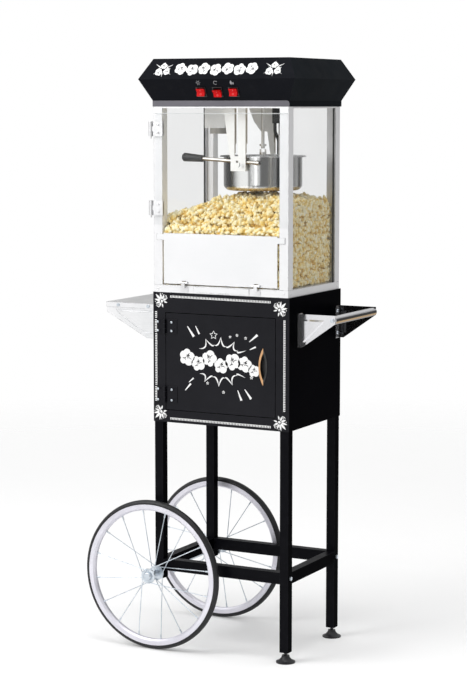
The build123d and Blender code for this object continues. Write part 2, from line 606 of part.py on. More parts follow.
def bracket(side, y_face, inward, tip_x, foot):
    """A pressed triangular wall bracket: a plate with a raised field and a wall flange.

    side is the wall's side, y_face the plate's outer face, inward the way to the other bracket.
    """
    wall = side * CAB_W / 2
    border = EMBOSS_BORDER
    outline = [
        (wall, BRACKET_Z0),
        (wall + side * foot, BRACKET_Z0),
        (tip_x, HANDLE_Z - HANDLE_TIP_R),
        (tip_x, BRACKET_Z1),
        (wall, BRACKET_Z1),
    ]
    field = [
        (wall + side * border, BRACKET_Z0 + border),
        (wall + side * (border / 2 + foot), BRACKET_Z0 + border),
        (tip_x - side * FIELD_TIP_LOW[0] * border, BRACKET_Z1 - FIELD_TIP_LOW[1] * border),
        (tip_x - side * FIELD_TIP_HIGH[0] * border, BRACKET_Z1 - FIELD_TIP_HIGH[1] * border),
        (wall + side * border, BRACKET_Z1 - border),
    ]
    extrude(polygon(front_plane(0, y_face, 0), outline), amount=-BRACKET_T * inward)
    raised = [
        polygon(front_plane(0, y_face, 0), field),
        polygon(front_plane(0, y_face - inward * EMBOSS, 0), field, EMBOSS),
    ]
    loft(raised)
    hollow = [
        polygon(front_plane(0, y_face + inward * BRACKET_T, 0), field, BRACKET_T / 2),
        polygon(front_plane(0, y_face - inward * (EMBOSS - BRACKET_T), 0), field, EMBOSS + BRACKET_T / 2),
    ]
    loft(hollow, mode=Mode.SUBTRACT)
    flange_end = y_face + inward * (BRACKET_T + BRACKET_FLANGE)
    block((wall, wall + side * BRACKET_T), (y_face, flange_end), (BRACKET_Z0, BRACKET_Z1))
    screw_y = y_face + inward * (BRACKET_T + BRACKET_FLANGE / 2)
    for z in (BRACKET_Z0 + BRACKET_SCREW_INSET, BRACKET_Z1 - BRACKET_SCREW_INSET):
        rod((wall, screw_y, z), (wall + side * BRACKET_T, screw_y, z), SCREW_R + BOLT_CLEAR, Mode.SUBTRACT)


def build_shelf():
    """The folded shelf tray on the left wall and its two brackets."""
    wall, t = -CAB_W / 2, BRACKET_T
    near, far = BRACKET_Y[0] - GAP, BRACKET_Y[1] + GAP
    skirt = (SHELF_TOP_Z - SHELF_SKIRT, SHELF_TOP_Z)
    with BuildPart() as tray:
        block((SHELF_TIP_X - t - GAP, wall), (near - t, far + t), skirt)
        block((SHELF_TIP_X - GAP, wall), (near, far), (skirt[0], SHELF_TOP_Z - t), Mode.SUBTRACT)
        for x in SHELF_SCREW_X:
            for y in (near, far):
                rod((x, y - 2 * t, SHELF_SCREW_Z), (x, y + 2 * t, SHELF_SCREW_Z), SCREW_R, Mode.SUBTRACT)
    save(tray, "shelf_tray")
    with BuildPart() as brackets:
        bracket(-1, BRACKET_Y[0], 1, SHELF_TIP_X, SHELF_FOOT)
        bracket(-1, BRACKET_Y[1], -1, SHELF_TIP_X, SHELF_FOOT)
        for x in SHELF_SCREW_X:
            for y in BRACKET_Y:
                rod((x, y - 2 * t, SHELF_SCREW_Z), (x, y + 2 * t, SHELF_SCREW_Z), SCREW_R, Mode.SUBTRACT)
    save(brackets, "shelf_brackets")


def build_handle():
    """The push handle: two brackets on the right wall and a closed tube bolted between them."""
    near, far = BRACKET_Y
    hole = BOLT_R + BOLT_CLEAR
    with BuildPart() as brackets:
        for y, inward in ((near, 1), (far, -1)):
            bracket(1, y, inward, HANDLE_X + HANDLE_TIP_R, BRACKET_FOOT)
            start, stop = (HANDLE_X, y - BRACKET_T - GAP, HANDLE_Z), (HANDLE_X, y + BRACKET_T + GAP, HANDLE_Z)
            rod(start, stop, hole, Mode.SUBTRACT)
    save(brackets, "handle_brackets")
    ends = (near + BRACKET_T, far - BRACKET_T)
    with BuildPart() as tube:
        rod((HANDLE_X, ends[0], HANDLE_Z), (HANDLE_X, ends[1], HANDLE_Z), HANDLE_R)
        hollow = (ends[0] + 2 * END_PLATE, ends[1] - 2 * END_PLATE)
        start, stop = (HANDLE_X, hollow[0], HANDLE_Z), (HANDLE_X, hollow[1], HANDLE_Z)
        rod(start, stop, HANDLE_R - HANDLE_WALL, Mode.SUBTRACT)
        rod((HANDLE_X, ends[0], HANDLE_Z), (HANDLE_X, ends[1], HANDLE_Z), hole, Mode.SUBTRACT)
    save(tube, "handle_tube")


def build_bracket_bolts():
    """Screws through the wall flanges, the shelf skirt's screws and the handle's end bolts."""
    grip = 3 * BRACKET_T
    with BuildPart() as bolts:
        for side in (-1, 1):
            outer = side * (CAB_W / 2 + BRACKET_T)
            inner = side * (CAB_W / 2 - 2 * grip)
            for y, z in bracket_screw_points():
                rod((inner, y, z), (outer, y, z), SCREW_R)
                rod((outer, y, z), (outer + side * SCREW_HEAD_H, y, z), SCREW_HEAD_R)
        skirt = BRACKET_T + GAP
        for x in SHELF_SCREW_X:
            for y, out in ((BRACKET_Y[0], -1), (BRACKET_Y[1], 1)):
                face = y + out * skirt
                rod((x, y - out * grip, SHELF_SCREW_Z), (x, face, SHELF_SCREW_Z), SCREW_R - GAP)
                rod((x, face, SHELF_SCREW_Z), (x, face + out * SCREW_HEAD_H, SHELF_SCREW_Z), SCREW_HEAD_R)
        for y, out in ((BRACKET_Y[0], -1), (BRACKET_Y[1], 1)):
            rod((HANDLE_X, y - out * 2 * END_PLATE, HANDLE_Z), (HANDLE_X, y, HANDLE_Z), BOLT_R)
            rod((HANDLE_X, y, HANDLE_Z), (HANDLE_X, y + out * BOLT_HEAD_H, HANDLE_Z), BOLT_HEAD_AF / 2)
    save(bolts, "bracket_bolts")


# ---------------------------------------------------------------- popping case
def build_case_frame():
    """Four square posts between a base frame and slim top rails."""
    post_x = (CASE_X - POST_W, CASE_X)
    front, rear = (CASE_Y0, CASE_Y0 + POST_D), (CASE_Y1 - POST_D, CASE_Y1)
    base_top = CASE_Z0 + BASE_H
    with BuildPart() as posts:
        for side in (-1, 1):
            for span in (front, rear):
                x = (side * post_x[0], side * post_x[1])
                hollow_x = (side * (post_x[0] + POST_WALL), side * (post_x[1] - POST_WALL))
                block(x, span, (base_top, CASE_Z1))
                hollow = (span[0] + POST_WALL, span[1] - POST_WALL)
                block(hollow_x, hollow, (base_top, CASE_Z1 - POST_WALL), Mode.SUBTRACT)
    save(posts, "case_posts")
    with BuildPart() as base:
        block(both(CASE_X), (CASE_Y0, CASE_Y1), (CASE_Z0, base_top))
        inner_y = (CASE_Y0 + POST_WALL, CASE_Y1 - POST_WALL)
        block(both(CASE_X - POST_WALL), inner_y, (CASE_Z0, base_top - POST_WALL), Mode.SUBTRACT)
        block(both(CASE_X - POST_D), (front[1], rear[0]), (CASE_Z0, base_top), Mode.SUBTRACT)
        mouth_x = (DRAWER_X0 + DRAWER_WALL, DRAWER_X1 - DRAWER_WALL)
        mouth_z = (DRAWER_Z0 + DRAWER_WALL, DRAWER_Z1 - DRAWER_LIP)
        block(mouth_x, (CASE_Y0, CASE_Y0 + 2 * POST_WALL), mouth_z, Mode.SUBTRACT)
    save(base, "case_base_frame")
    with BuildPart() as top_rails:
        z = (CASE_Z1 - TOP_RAIL_H, CASE_Z1)
        inner_x = CASE_X - POST_W
        for side in (-1, 1):
            block((side * (CASE_X - TOP_RAIL_W), side * CASE_X), (front[1], rear[0]), z)
        block(both(inner_x), (CASE_Y0, CASE_Y0 + TOP_RAIL_W), z)
        block(both(inner_x), (CASE_Y1 - TOP_RAIL_W, CASE_Y1), z)
    save(top_rails, "case_top_rails")


def build_case_sheets():
    """The floor plate, the ceiling plate, three fixed panes and their seals."""
    base_top, rail_z = CASE_Z0 + BASE_H, CASE_Z1 - TOP_RAIL_H
    side_y = (CASE_Y0 + POST_D + GAP, CASE_Y1 - POST_D - GAP)
    post_in = CASE_X - POST_W - CLEAR
    with BuildPart() as floor:
        span = (CASE_Y0 + FLOOR_FRONT, REAR_GLASS_Y - FLOOR_EDGE)
        block(both(post_in), span, (base_top, base_top + PLATE_T))
        block(both(GLASS_IN_X - FLOOR_EDGE), side_y, (base_top, base_top + PLATE_T))
        across = (DRAWER_X1 - DRAWER_X0) / (CRUMB_COLUMNS + 1)
        middle = ((DRAWER_X0 + DRAWER_X1) / 2, (CRUMB_Y0 + DRAWER_BACK_Y) / 2, base_top)
        with Locations(middle):
            with GridLocations(across, CRUMB_PITCH, CRUMB_COLUMNS, CRUMB_ROWS):
                Cylinder(CRUMB_HOLE_R, 2 * BASE_H, mode=Mode.SUBTRACT)
    save(floor, "case_floor_plate")
    with BuildPart() as ceiling:
        rim_x, rim_y = SKIRT_W / 2 - 2 * SHEET, SKIRT_D / 2 - 2 * SHEET
        block(both(rim_x), both(rim_y), (CASE_Z1, CASE_Z1 + PLATE_T))
        for x, y, hole in (
            (KETTLE_X, 0, STIR_R + SHAFT_HOLE_SLACK),
            (CORD_X, CORD_ROUTE[0][0], CORD_R + CORD_HOLE_SLACK),
        ):
            rod((x, y, CASE_Z1 - PLATE_T), (x, y, CASE_Z1 + 2 * PLATE_T), hole, Mode.SUBTRACT)
    save(ceiling, "ceiling_plate")
    with BuildPart() as panes:
        for side in (-1, 1):
            block((side * GLASS_IN_X, side * (GLASS_IN_X + GLASS_T)), side_y, (base_top, rail_z))
        block(both(post_in), (REAR_GLASS_Y, REAR_GLASS_Y + GLASS_T), (base_top, rail_z - GAP))
    save(panes, "case_glasses")
    with BuildPart() as seals:
        for side in (-1, 1):
            face = GLASS_IN_X + GLASS_T
            block((side * face, side * (face + SHEET)), (SEAL_Y0, SEAL_Y1), (base_top, rail_z))
    save(seals, "case_seals")


def build_crumb_drawer():
    """The shallow drawer under the perforated floor, and the two strips that guide it."""
    front = CASE_Y0 - CLEAR
    tray_x = (DRAWER_X0 + 2 * DRAWER_WALL, DRAWER_X1 - 2 * DRAWER_WALL)
    tray_z = (DRAWER_Z0 + 2 * DRAWER_WALL, DRAWER_Z1 - 3 * DRAWER_WALL)
    with BuildPart() as drawer:
        block((DRAWER_X0, DRAWER_X1), (front - DRAWER_FRONT_T, front), (DRAWER_Z0, DRAWER_Z1))
        block(tray_x, (front, DRAWER_BACK_Y), tray_z)
        inner_x = (tray_x[0] + DRAWER_WALL, tray_x[1] - DRAWER_WALL)
        inner_z = (tray_z[0] + DRAWER_WALL, tray_z[1])
        block(inner_x, (front, DRAWER_BACK_Y - DRAWER_WALL), inner_z, Mode.SUBTRACT)
    save(drawer, "crumb_drawer")
    with BuildPart() as guides:
        for x, side in ((tray_x[0], -1), (tray_x[1], 1)):
            near, outer = x + side * GUIDE_GAP, x + side * GUIDE_OUT
            length = (CASE_Y0 + GUIDE_FRONT, DRAWER_BACK_Y + GUIDE_BACK)
            block((near, outer), length, (CASE_Z0, CASE_Z0 + GUIDE_H))
    save(guides, "drawer_guides")


def build_serving_panel():
    """The drop-down panel with its two ears and the knuckles along its bottom edge."""
    pin_y, pin_z, r = PANEL_PIN_Y, PANEL_PIN_Z, PANEL_KNUCKLE_R
    with BuildPart() as panel:
        block(both(PANEL_X), PANEL_Y, (PANEL_Z0, PANEL_Z1))
        block(both(EAR_X), PANEL_Y, EAR_Z)
        for x in both(PANEL_HINGE_X):
            notch = LUG_HALF + LUG_GAP
            notch_z = (PANEL_Z0, pin_z + r + NOTCH_RISE)
            block(beside(x, notch), (PANEL_Y[0] - 2 * r, PANEL_Y[1]), notch_z, Mode.SUBTRACT)
            for side in (-1, 1):
                near, outer = x + side * notch, x + side * (notch + KNUCKLE_L)
                rod((near, pin_y, pin_z), (outer, pin_y, pin_z), r)
                block((near, outer), (pin_y, PANEL_Y[1]), (pin_z, pin_z + r))
                rod((near, pin_y, pin_z), (outer, pin_y, pin_z), LID_PIN_R + RUN_FIT, Mode.SUBTRACT)
    save(panel, "serving_panel")


def panel_lugs():
    """The two lugs on the base frame's front, with the pins that the serving panel turns on."""
    pin_y, pin_z, r = PANEL_PIN_Y, PANEL_PIN_Z, PANEL_KNUCKLE_R
    base_top = CASE_Z0 + BASE_H
    for x in both(PANEL_HINGE_X):
        plate_z = (CASE_Z0 + LUG_INSET, base_top - LUG_INSET)
        block(beside(x, LUG_HALF + KNUCKLE_L), (CASE_Y0 - LEAF_T, CASE_Y0), plate_z)
        block(beside(x, LUG_HALF), (pin_y, CASE_Y0), (base_top - LUG_DROP, base_top))
        block(beside(x, LUG_HALF), beside(pin_y, r), (base_top - LUG_DROP, pin_z))
        rod((x - LUG_HALF, pin_y, pin_z), (x + LUG_HALF, pin_y, pin_z), r)
        reach = LUG_HALF + LUG_GAP + KNUCKLE_L + PIN_TAIL
        rod((x - reach, pin_y, pin_z), (x + reach, pin_y, pin_z), LID_PIN_R)


def build_glass_door():
    """The frameless glass door, the clamps that carry it and the post brackets with their pins."""
    with BuildPart() as pane:
        block((GDOOR_X0, GDOOR_X1), (GDOOR_Y0, GDOOR_Y1), (GDOOR_Z0, GDOOR_Z1))
    save(pane, "door_glass")
    with BuildPart() as clamps:
        for z0, z1 in GHINGES:
            middle = hinge_spans(z0, z1)[1]
            block((GDOOR_X0 - CLAMP_T, CLAMP_X[1]), (GDOOR_Y0 - CLAMP_T, GDOOR_Y1 + CLAMP_T), (z0, z1))
            block((GDOOR_X0, CLAMP_X[1]), (GDOOR_Y0, GDOOR_Y1), (z0, z1), Mode.SUBTRACT)
            block((GHINGE_X, GDOOR_X0 - CLAMP_T), beside(GHINGE_Y, CLAMP_ARM_HALF), middle)
            rod((GHINGE_X, GHINGE_Y, middle[0]), (GHINGE_X, GHINGE_Y, middle[1]), GHINGE_R)
            pin_hole = GPIN_R + RUN_FIT
            rod((GHINGE_X, GHINGE_Y, middle[0]), (GHINGE_X, GHINGE_Y, middle[1]), pin_hole, Mode.SUBTRACT)
    save(clamps, "door_hinge_clamps")
    side = (-CASE_X - LEAF_T, -CASE_X)
    with BuildPart() as plates:
        for z0, z1 in GHINGES:
            block(side, (CASE_Y0 + PLATE_INSET[0], CASE_Y0 + POST_D - PLATE_INSET[1]), (z0, z1))
            for a, b in hinge_spans(z0, z1)[::2]:
                block((GHINGE_X, side[1]), (GHINGE_Y + PLATE_ARM[0], CASE_Y0 + PLATE_ARM[1]), (a, b))
                block((GHINGE_X, side[1] - END_FLOAT), (GHINGE_Y, GHINGE_Y + ARM_BEND), (a, b))
                rod((GHINGE_X, GHINGE_Y, a), (GHINGE_X, GHINGE_Y, b), GHINGE_R)
            rod((GHINGE_X, GHINGE_Y, z0 - GPIN_TAIL), (GHINGE_X, GHINGE_Y, z1), GPIN_R)
        panel_lugs()
    save(plates, "case_hinge_plates")


# ---------------------------------------------------------------- kettle
def build_kettle():
    """The pot with its rim, trunnions and lid bridge, the tilting rod and its grip."""
    r, wall = KETTLE_R, KETTLE_WALL
    with BuildPart() as pot:
        with BuildSketch(front_plane(KETTLE_X, 0, 0)) as outline:
            with BuildLine():
                corner = KETTLE_CORNER
                turn = corner * (1 - 1 / sqrt(2))
                Line((0, KETTLE_Z0), (r - corner, KETTLE_Z0))
                ThreePointArc((r - corner, KETTLE_Z0), (r - turn, KETTLE_Z0 + turn), (r, KETTLE_Z0 + corner))
                Polyline(
                    (r, KETTLE_Z0 + corner),
                    (r, KETTLE_Z1 - wall),
                    (RIM_R, KETTLE_Z1 - wall),
                    (RIM_R, KETTLE_Z1),
                    (r - wall, KETTLE_Z1),
                    (r - wall, KETTLE_Z0 + corner),
                    (r - corner, KETTLE_Z0 + KETTLE_FLOOR),
                    (0, KETTLE_Z0 + KETTLE_FLOOR),
                    (0, KETTLE_Z0),
                )
            make_face()
        revolve(outline.sketch, axis=Axis((KETTLE_X, 0, 0), (0, 0, 1)))
        for side in (-1, 1):
            boss = ((KETTLE_X, side * (r - wall + GAP), TRUNNION_Z), (KETTLE_X, side * BOSS_END, TRUNNION_Z))
            rod(*boss, BOSS_R)
            rod(boss[1], (KETTLE_X, side * TRUNNION_END, TRUNNION_Z), TRUNNION_R)
        bridge_z = (KETTLE_Z1 - wall, KETTLE_Z1 + BRIDGE_T)
        block(beside(KETTLE_X, BRIDGE_HALF), both(RIM_R - BRIDGE_INSET), bridge_z)
        hole = ((KETTLE_X, 0, KETTLE_Z1 - STIR_HOLE_HALF), (KETTLE_X, 0, KETTLE_Z1 + STIR_HOLE_HALF))
        rod(*hole, STIR_R + RUN_FIT, Mode.SUBTRACT)
        for side in (-1, 1):
            x = KETTLE_X + side * LID_AXIS_OFF
            inner, outer = LID_KNUCKLES[0] - LID_LUG_GAP, LID_KNUCKLES[1] + LID_LUG_GAP
            for end in (-1, 1):
                for y in (inner - LUG_W, outer):
                    lug = (end * y, end * (y + LUG_W))
                    lug_x, lug_z = KETTLE_X + side * (BRIDGE_HALF - LUG_GAP), KETTLE_Z1 + LID_LIFT
                    block((lug_x, x), lug, (lug_z, LID_AXIS_Z + LID_LUG_TOP))
                    rod((x, lug[0], LID_AXIS_Z), (x, lug[1], LID_AXIS_Z), LID_LUG_R)
                rod((x, end * (inner - LUG_W), LID_AXIS_Z), (x, end * (outer + LUG_W), LID_AXIS_Z), LID_PIN_R)
    save(pot, "kettle_pot")
    start, end = Vector(ROD_X0, ROD_Y, ROD_Z0), Vector(ROD_X1, ROD_Y, ROD_Z1)
    along = (end - start).normalized()
    with BuildPart() as handle:
        rod(start, end, ROD_R)
        rod(end - along * COLLAR_L, end, COLLAR_R)
        rod(end - along * COLLAR_DEPTH, end, COLLAR_BORE_R, Mode.SUBTRACT)
    save(handle, "kettle_handle")
    with BuildPart() as grip:
        outline = [
            (GRIP_BACK, 0),
            (GRIP_BACK, GRIP_R0 - GRIP_ROUND_R),
            (GRIP_BACK + GRIP_ROUND_L, GRIP_R0),
            (GRIP_FRONT, GRIP_R1),
            (GRIP_FRONT, ROD_R + GAP),
            (-GAP, ROD_R + GAP),
            (-GAP, 0),
        ]
        half = polygon(Plane(origin=start, x_dir=along, z_dir=(0, 1, 0)), outline)
        revolve(half, axis=Axis(start, along))
    save(grip, "kettle_grip")


def build_lids():
    """The two half lids, each on a pinned edge beside the bridge."""
    z = KETTLE_Z1 + LID_LIFT
    for name, side in (("left", -1), ("right", 1)):
        axis_x = KETTLE_X + side * LID_AXIS_OFF
        edge_x = KETTLE_X + side * (LID_AXIS_OFF + LID_KNUCKLE_R - GAP)
        with BuildPart() as lid:
            rod((KETTLE_X, 0, z), (KETTLE_X, 0, z + LID_T), LID_R)
            block((edge_x, edge_x - side * 2 * LID_R), both(RIM_R), (z - LID_T, z + 2 * LID_T), Mode.SUBTRACT)
            for end in (-1, 1):
                ends = [(axis_x, end * y, LID_AXIS_Z) for y in LID_KNUCKLES]
                rod(*ends, LID_KNUCKLE_R)
                joint_x = (axis_x + side * LID_PIN_R, edge_x + side * LID_PIN_R)
                block(joint_x, (ends[0][1], ends[1][1]), (z, z + LID_T))
                rod(*ends, LID_PIN_R + RUN_FIT, Mode.SUBTRACT)
        save(lid, f"kettle_lid_{name}")


def build_stirring():
    """The stirrer in the pot, the shaft that drives it and the geared motor above the ceiling."""
    with BuildPart() as stirrer:
        rod((KETTLE_X, 0, STIR_Z0), (KETTLE_X, 0, COUPLING_Z), STIR_R)
        arm_z, coupling_top = STIR_Z0 + ARM_RISE, COUPLING_Z + COUPLING_H
        for side in (-1, 1):
            tip = KETTLE_X + side * STIR_REACH
            rod((KETTLE_X, 0, arm_z), (tip, 0, arm_z), ARM_R)
            paddle_x = (KETTLE_X + side * STIR_REACH / 2, tip)
            block(paddle_x, both(PADDLE_HALF), (STIR_Z0, arm_z + PADDLE_RISE))
        rod((KETTLE_X, 0, COUPLING_Z), (KETTLE_X, 0, coupling_top), COUPLING_R)
        for side in (-1, 1):
            prong_x = (KETTLE_X + side * (COUPLING_R - PRONG_IN), KETTLE_X + side * (COUPLING_R - PRONG_OUT))
            block(prong_x, both(PRONG_HALF), (coupling_top, PRONG_TOP_Z))
    save(stirrer, "stirrer")
    with BuildPart() as shaft:
        rod((KETTLE_X, 0, DRIVE_Z0), (KETTLE_X, 0, DRIVE_Z1), TRUNNION_R)
        rod((KETTLE_X, 0, DRIVE_Z0), (KETTLE_X, 0, DRIVE_DISC[0]), DRIVE_TIP_R)
        rod((KETTLE_X, 0, DRIVE_DISC[0]), (KETTLE_X, 0, DRIVE_DISC[1]), COUPLING_R)
    save(shaft, "drive_shaft")
    with BuildPart() as motor:
        top = CASE_Z1 + PLATE_T
        gear_top = top + GEAR_H
        block(beside(KETTLE_X, MOTOR_HALF_X), both(MOTOR_HALF_Y), (top, gear_top))
        rod((KETTLE_X + CAN_X, 0, gear_top), (KETTLE_X + CAN_X, 0, top + CAN_TOP), CAN_R)
        rod((KETTLE_X, 0, top), (KETTLE_X, 0, DRIVE_Z1 + PIN_TAIL), TRUNNION_R + RUN_FIT, Mode.SUBTRACT)
    save(motor, "stir_motor")


def build_hangers():
    """The two sheet arms that carry the kettle's trunnions, hung from the ceiling plate."""
    top = CASE_Z1
    outline = [
        (HANGER_X0, top),
        (HANGER_X1, top),
        (HANGER_X1, HANGER_FOOT_Z),
        (HANGER_FOOT_X0, HANGER_FOOT_Z),
        (HANGER_FOOT_X0, HANGER_FOOT_Z + HANGER_SHOULDER[1]),
        (HANGER_FOOT_X0 - HANGER_SHOULDER[0], HANGER_FOOT_Z + HANGER_SHOULDER[2]),
    ]
    with BuildPart() as hangers:
        for side in (-1, 1):
            near, outer = side * HANGER_Y[0], side * HANGER_Y[1]
            plate = polygon(front_plane(0, outer, 0), outline)
            extrude(plate, amount=side * (HANGER_Y[1] - HANGER_Y[0]))
            slot_z = (HANGER_FOOT_Z + HANGER_SLOT_RISE, top - HANGER_SLOT_DROP)
            block(HANGER_SLOT, (near, outer), slot_z, Mode.SUBTRACT)
            for edge in (HANGER_SLOT[0], HANGER_X1):
                for inner, foot in HANGER_FLANGES:
                    block((edge - HANGER_FLANGE_T, edge), (side * inner, outer), (foot, top))
            tab_y = (side * (HANGER_Y[0] - HANGER_TAB), outer)
            block((HANGER_X0, HANGER_X1), tab_y, (top - HANGER_TAB_T, top))
            hole = ((HANGER_HOLE_X, near, HANGER_HOLE_Z), (HANGER_HOLE_X, outer, HANGER_HOLE_Z))
            rod(*hole, HANGER_HOLE_R, Mode.SUBTRACT)
            start, stop = (KETTLE_X, side * HANGER_Y[0], TRUNNION_Z), (KETTLE_X, outer, TRUNNION_Z)
            rod(start, stop, TRUNNION_R + RUN_FIT, Mode.SUBTRACT)
        ear = polygon(front_plane(0, HANGER_Y[1], 0), HANGER_EAR)
        extrude(ear, amount=HANGER_Y[1] - HANGER_Y[0])
    save(hangers, "kettle_hangers")


def build_lamp():
    """The warming lamp: a square housing with a round reflector mouth, and its bulb."""
    half, top, wall = LAMP_SIDE / 2, CASE_Z1, LAMP_WALL
    bore_top = LAMP_Z0 + LAMP_BORE_UP
    with BuildPart() as housing:
        block(beside(LAMP_X, half), beside(LAMP_Y, half), (LAMP_Z0, top))
        rod((LAMP_X, LAMP_Y, LAMP_MOUTH_Z), (LAMP_X, LAMP_Y, LAMP_Z0), LAMP_MOUTH_R)
        rod((LAMP_X, LAMP_Y, LAMP_MOUTH_Z), (LAMP_X, LAMP_Y, bore_top), LAMP_MOUTH_R - wall, Mode.SUBTRACT)
        inner = half - wall
        hollow_z = (LAMP_Z0 + wall, top - wall)
        block(beside(LAMP_X, inner), beside(LAMP_Y, inner), hollow_z, Mode.SUBTRACT)
    save(housing, "lamp_housing")
    with BuildPart() as bulb:
        with Locations((LAMP_X, LAMP_Y, BULB_Z)):
            Sphere(BULB_R)
        rod((LAMP_X, LAMP_Y, BULB_Z), (LAMP_X, LAMP_Y, top - wall), BULB_R / 2)
    save(bulb, "lamp_bulb")


def build_electrical_fittings():
    """The power inlet on the canopy's back, the junction box under the ceiling and the terminal block."""
    slope = canopy_slope(0, INLET_Z, 1)
    with BuildPart() as fittings:
        with BuildSketch(slope) as body:
            Rectangle(INLET_W, INLET_H)
        extrude(body.sketch, amount=-INLET_DEPTH)
        with BuildSketch(slope) as flange:
            Rectangle(INLET_W + 2 * INLET_FLANGE, INLET_H + 2 * INLET_FLANGE)
        extrude(flange.sketch, amount=INLET_FLANGE_T)
        with BuildSketch(slope.offset(INLET_FLANGE_T)) as mouth:
            Rectangle(INLET_W - 2 * INLET_WALL, INLET_H - 2 * INLET_WALL)
        extrude(mouth.sketch, amount=2 * INLET_WALL - INLET_DEPTH, mode=Mode.SUBTRACT)
        block(JUNCTION_X, JUNCTION_Y, JUNCTION_Z)
        y, z = CORD_ROUTE[-1]
        block(beside(CORD_X, TERMINAL_HALF), (HANGER_Y[1], y + TERMINAL_OUT), (TRUNNION_Z + TERMINAL_UP, z))
    save(fittings, "electrical_fittings")


def build_kettle_cord():
    """The heater lead, from the junction box through the rear arm's slot to the terminal block."""
    with BuildPart() as cord:
        with BuildLine() as path:
            FilletPolyline([(CORD_X, y, z) for y, z in CORD_ROUTE], radius=CORD_BEND_R)
        with BuildSketch(Plane(origin=(CORD_X, *CORD_ROUTE[0]), z_dir=(0, 0, -1))):
            Circle(CORD_R)
        sweep(path=path.line)
    save(cord, "kettle_cord")


# ---------------------------------------------------------------- canopy
def canopy_slope(x, z, side=-1):
    """A plane on the canopy's lower front or back slope at a height, its Y along the slope."""
    rise, run = WIDE_Z - SKIRT_TOP_Z, (WIDE_D - SKIRT_D) / 2
    y = side * (SKIRT_D / 2 + (z - SKIRT_TOP_Z) * run / rise)
    return Plane(origin=(x, y, z), x_dir=(-side, 0, 0), z_dir=(0, side * rise, -run))


def canopy_solid(inset, mode):
    """The canopy's outer form drawn in by a wall thickness: skirt, flare and hipped top."""
    levels = [
        (SKIRT_W, SKIRT_D, SKIRT_TOP_Z),
        (WIDE_W, WIDE_D, WIDE_Z),
        (TOP_W, TOP_D, TOTAL_H - inset),
    ]
    faces = []
    for width, depth, z in levels:
        with BuildSketch(Plane.XY.offset(z)) as level:
            Rectangle(width - 2 * inset, depth - 2 * inset)
        faces.append(level.sketch)
    extrude(faces[0], amount=CASE_Z1 - SKIRT_TOP_Z, mode=mode)
    loft(faces[:2], mode=mode)
    loft(faces[1:], mode=mode)


def build_canopy():
    """The folded canopy shell with its switch cut-outs, and the grey plate on its front skirt."""
    with BuildPart() as shell:
        canopy_solid(0, Mode.ADD)
        canopy_solid(SHEET, Mode.SUBTRACT)
        for x in SWITCH_XS:
            with BuildSketch(canopy_slope(x, SWITCH_Z)) as cutout:
                Rectangle(SWITCH_CUP + 2 * GAP, SWITCH_CUP + 2 * GAP)
            extrude(cutout.sketch, amount=-PANEL_CUT, mode=Mode.SUBTRACT)
        with BuildSketch(canopy_slope(0, INLET_Z, 1)) as socket:
            Rectangle(INLET_W + 2 * GAP, INLET_H + 2 * GAP)
        extrude(socket.sketch, amount=-PANEL_CUT, mode=Mode.SUBTRACT)
    save(shell, "canopy_shell")
    with BuildPart() as trim:
        height = SKIRT_TOP_Z - CASE_Z1
        plane = front_plane(0, -SKIRT_D / 2, CASE_Z1 + height / 2)
        with BuildSketch(plane) as face:
            Rectangle(SKIRT_W, height)
            fillet(face.vertices().sort_by(Axis.X)[-2:].sort_by(Axis.Z)[-1:], height / 2)
        extrude(face.sketch, amount=SHEET)
    save(trim, "canopy_trim")


def build_switches():
    """Three snap-in rocker switches: black cups with bezels, and red rockers on cross pins."""
    mouth_w = ROCKER_W + ROCKER_SLACK
    pin_span = ROCKER_W / 2 + ROCKER_PIN_L
    with BuildPart() as bezels:
        for x in SWITCH_XS:
            slope = canopy_slope(x, SWITCH_Z)
            with BuildSketch(slope) as cup:
                Rectangle(SWITCH_CUP, SWITCH_CUP)
            extrude(cup.sketch, amount=-SWITCH_DEPTH)
            with BuildSketch(slope) as bezel:
                Rectangle(SWITCH_BEZEL, SWITCH_BEZEL)
            extrude(bezel.sketch, amount=SWITCH_RIM)
            with BuildSketch(slope.offset(SWITCH_RIM)) as mouth:
                Rectangle(mouth_w, mouth_w)
            extrude(mouth.sketch, amount=SWITCH_BACK - SWITCH_DEPTH - SWITCH_RIM, mode=Mode.SUBTRACT)
            for side in (-1, 1):
                with BuildSketch(switch_side_plane(x, side)) as pin_hole:
                    Circle(ROCKER_PIN_R + RUN_FIT)
                extrude(pin_hole.sketch, amount=side * PIN_POCKET, mode=Mode.SUBTRACT)
    save(bezels, "switch_bezels")
    for name, x, tilt in zip(("left", "middle", "right"), SWITCH_XS, (-1, 1, -1)):
        with BuildPart() as rocker:
            with BuildSketch(switch_side_plane(x, 0)) as profile:
                with BuildLine():
                    Polyline(rocker_outline(tilt), close=True)
                make_face()
            extrude(profile.sketch, amount=ROCKER_W / 2, both=True)
            with BuildSketch(switch_side_plane(x, 0)) as pin:
                Circle(ROCKER_PIN_R)
            extrude(pin.sketch, amount=pin_span, both=True)
        save(rocker, f"rocker_{name}")


def switch_side_plane(x, side):
    """The plane across a switch's pin: origin on the pin, X out of the slope and Y up along it."""
    slope = canopy_slope(x, SWITCH_Z)
    out = slope.z_dir
    origin = slope.origin - out * ROCKER_PIN_DEPTH + slope.x_dir * side * (ROCKER_W + ROCKER_SLACK) / 2
    return Plane(origin=origin, x_dir=out, z_dir=slope.x_dir)


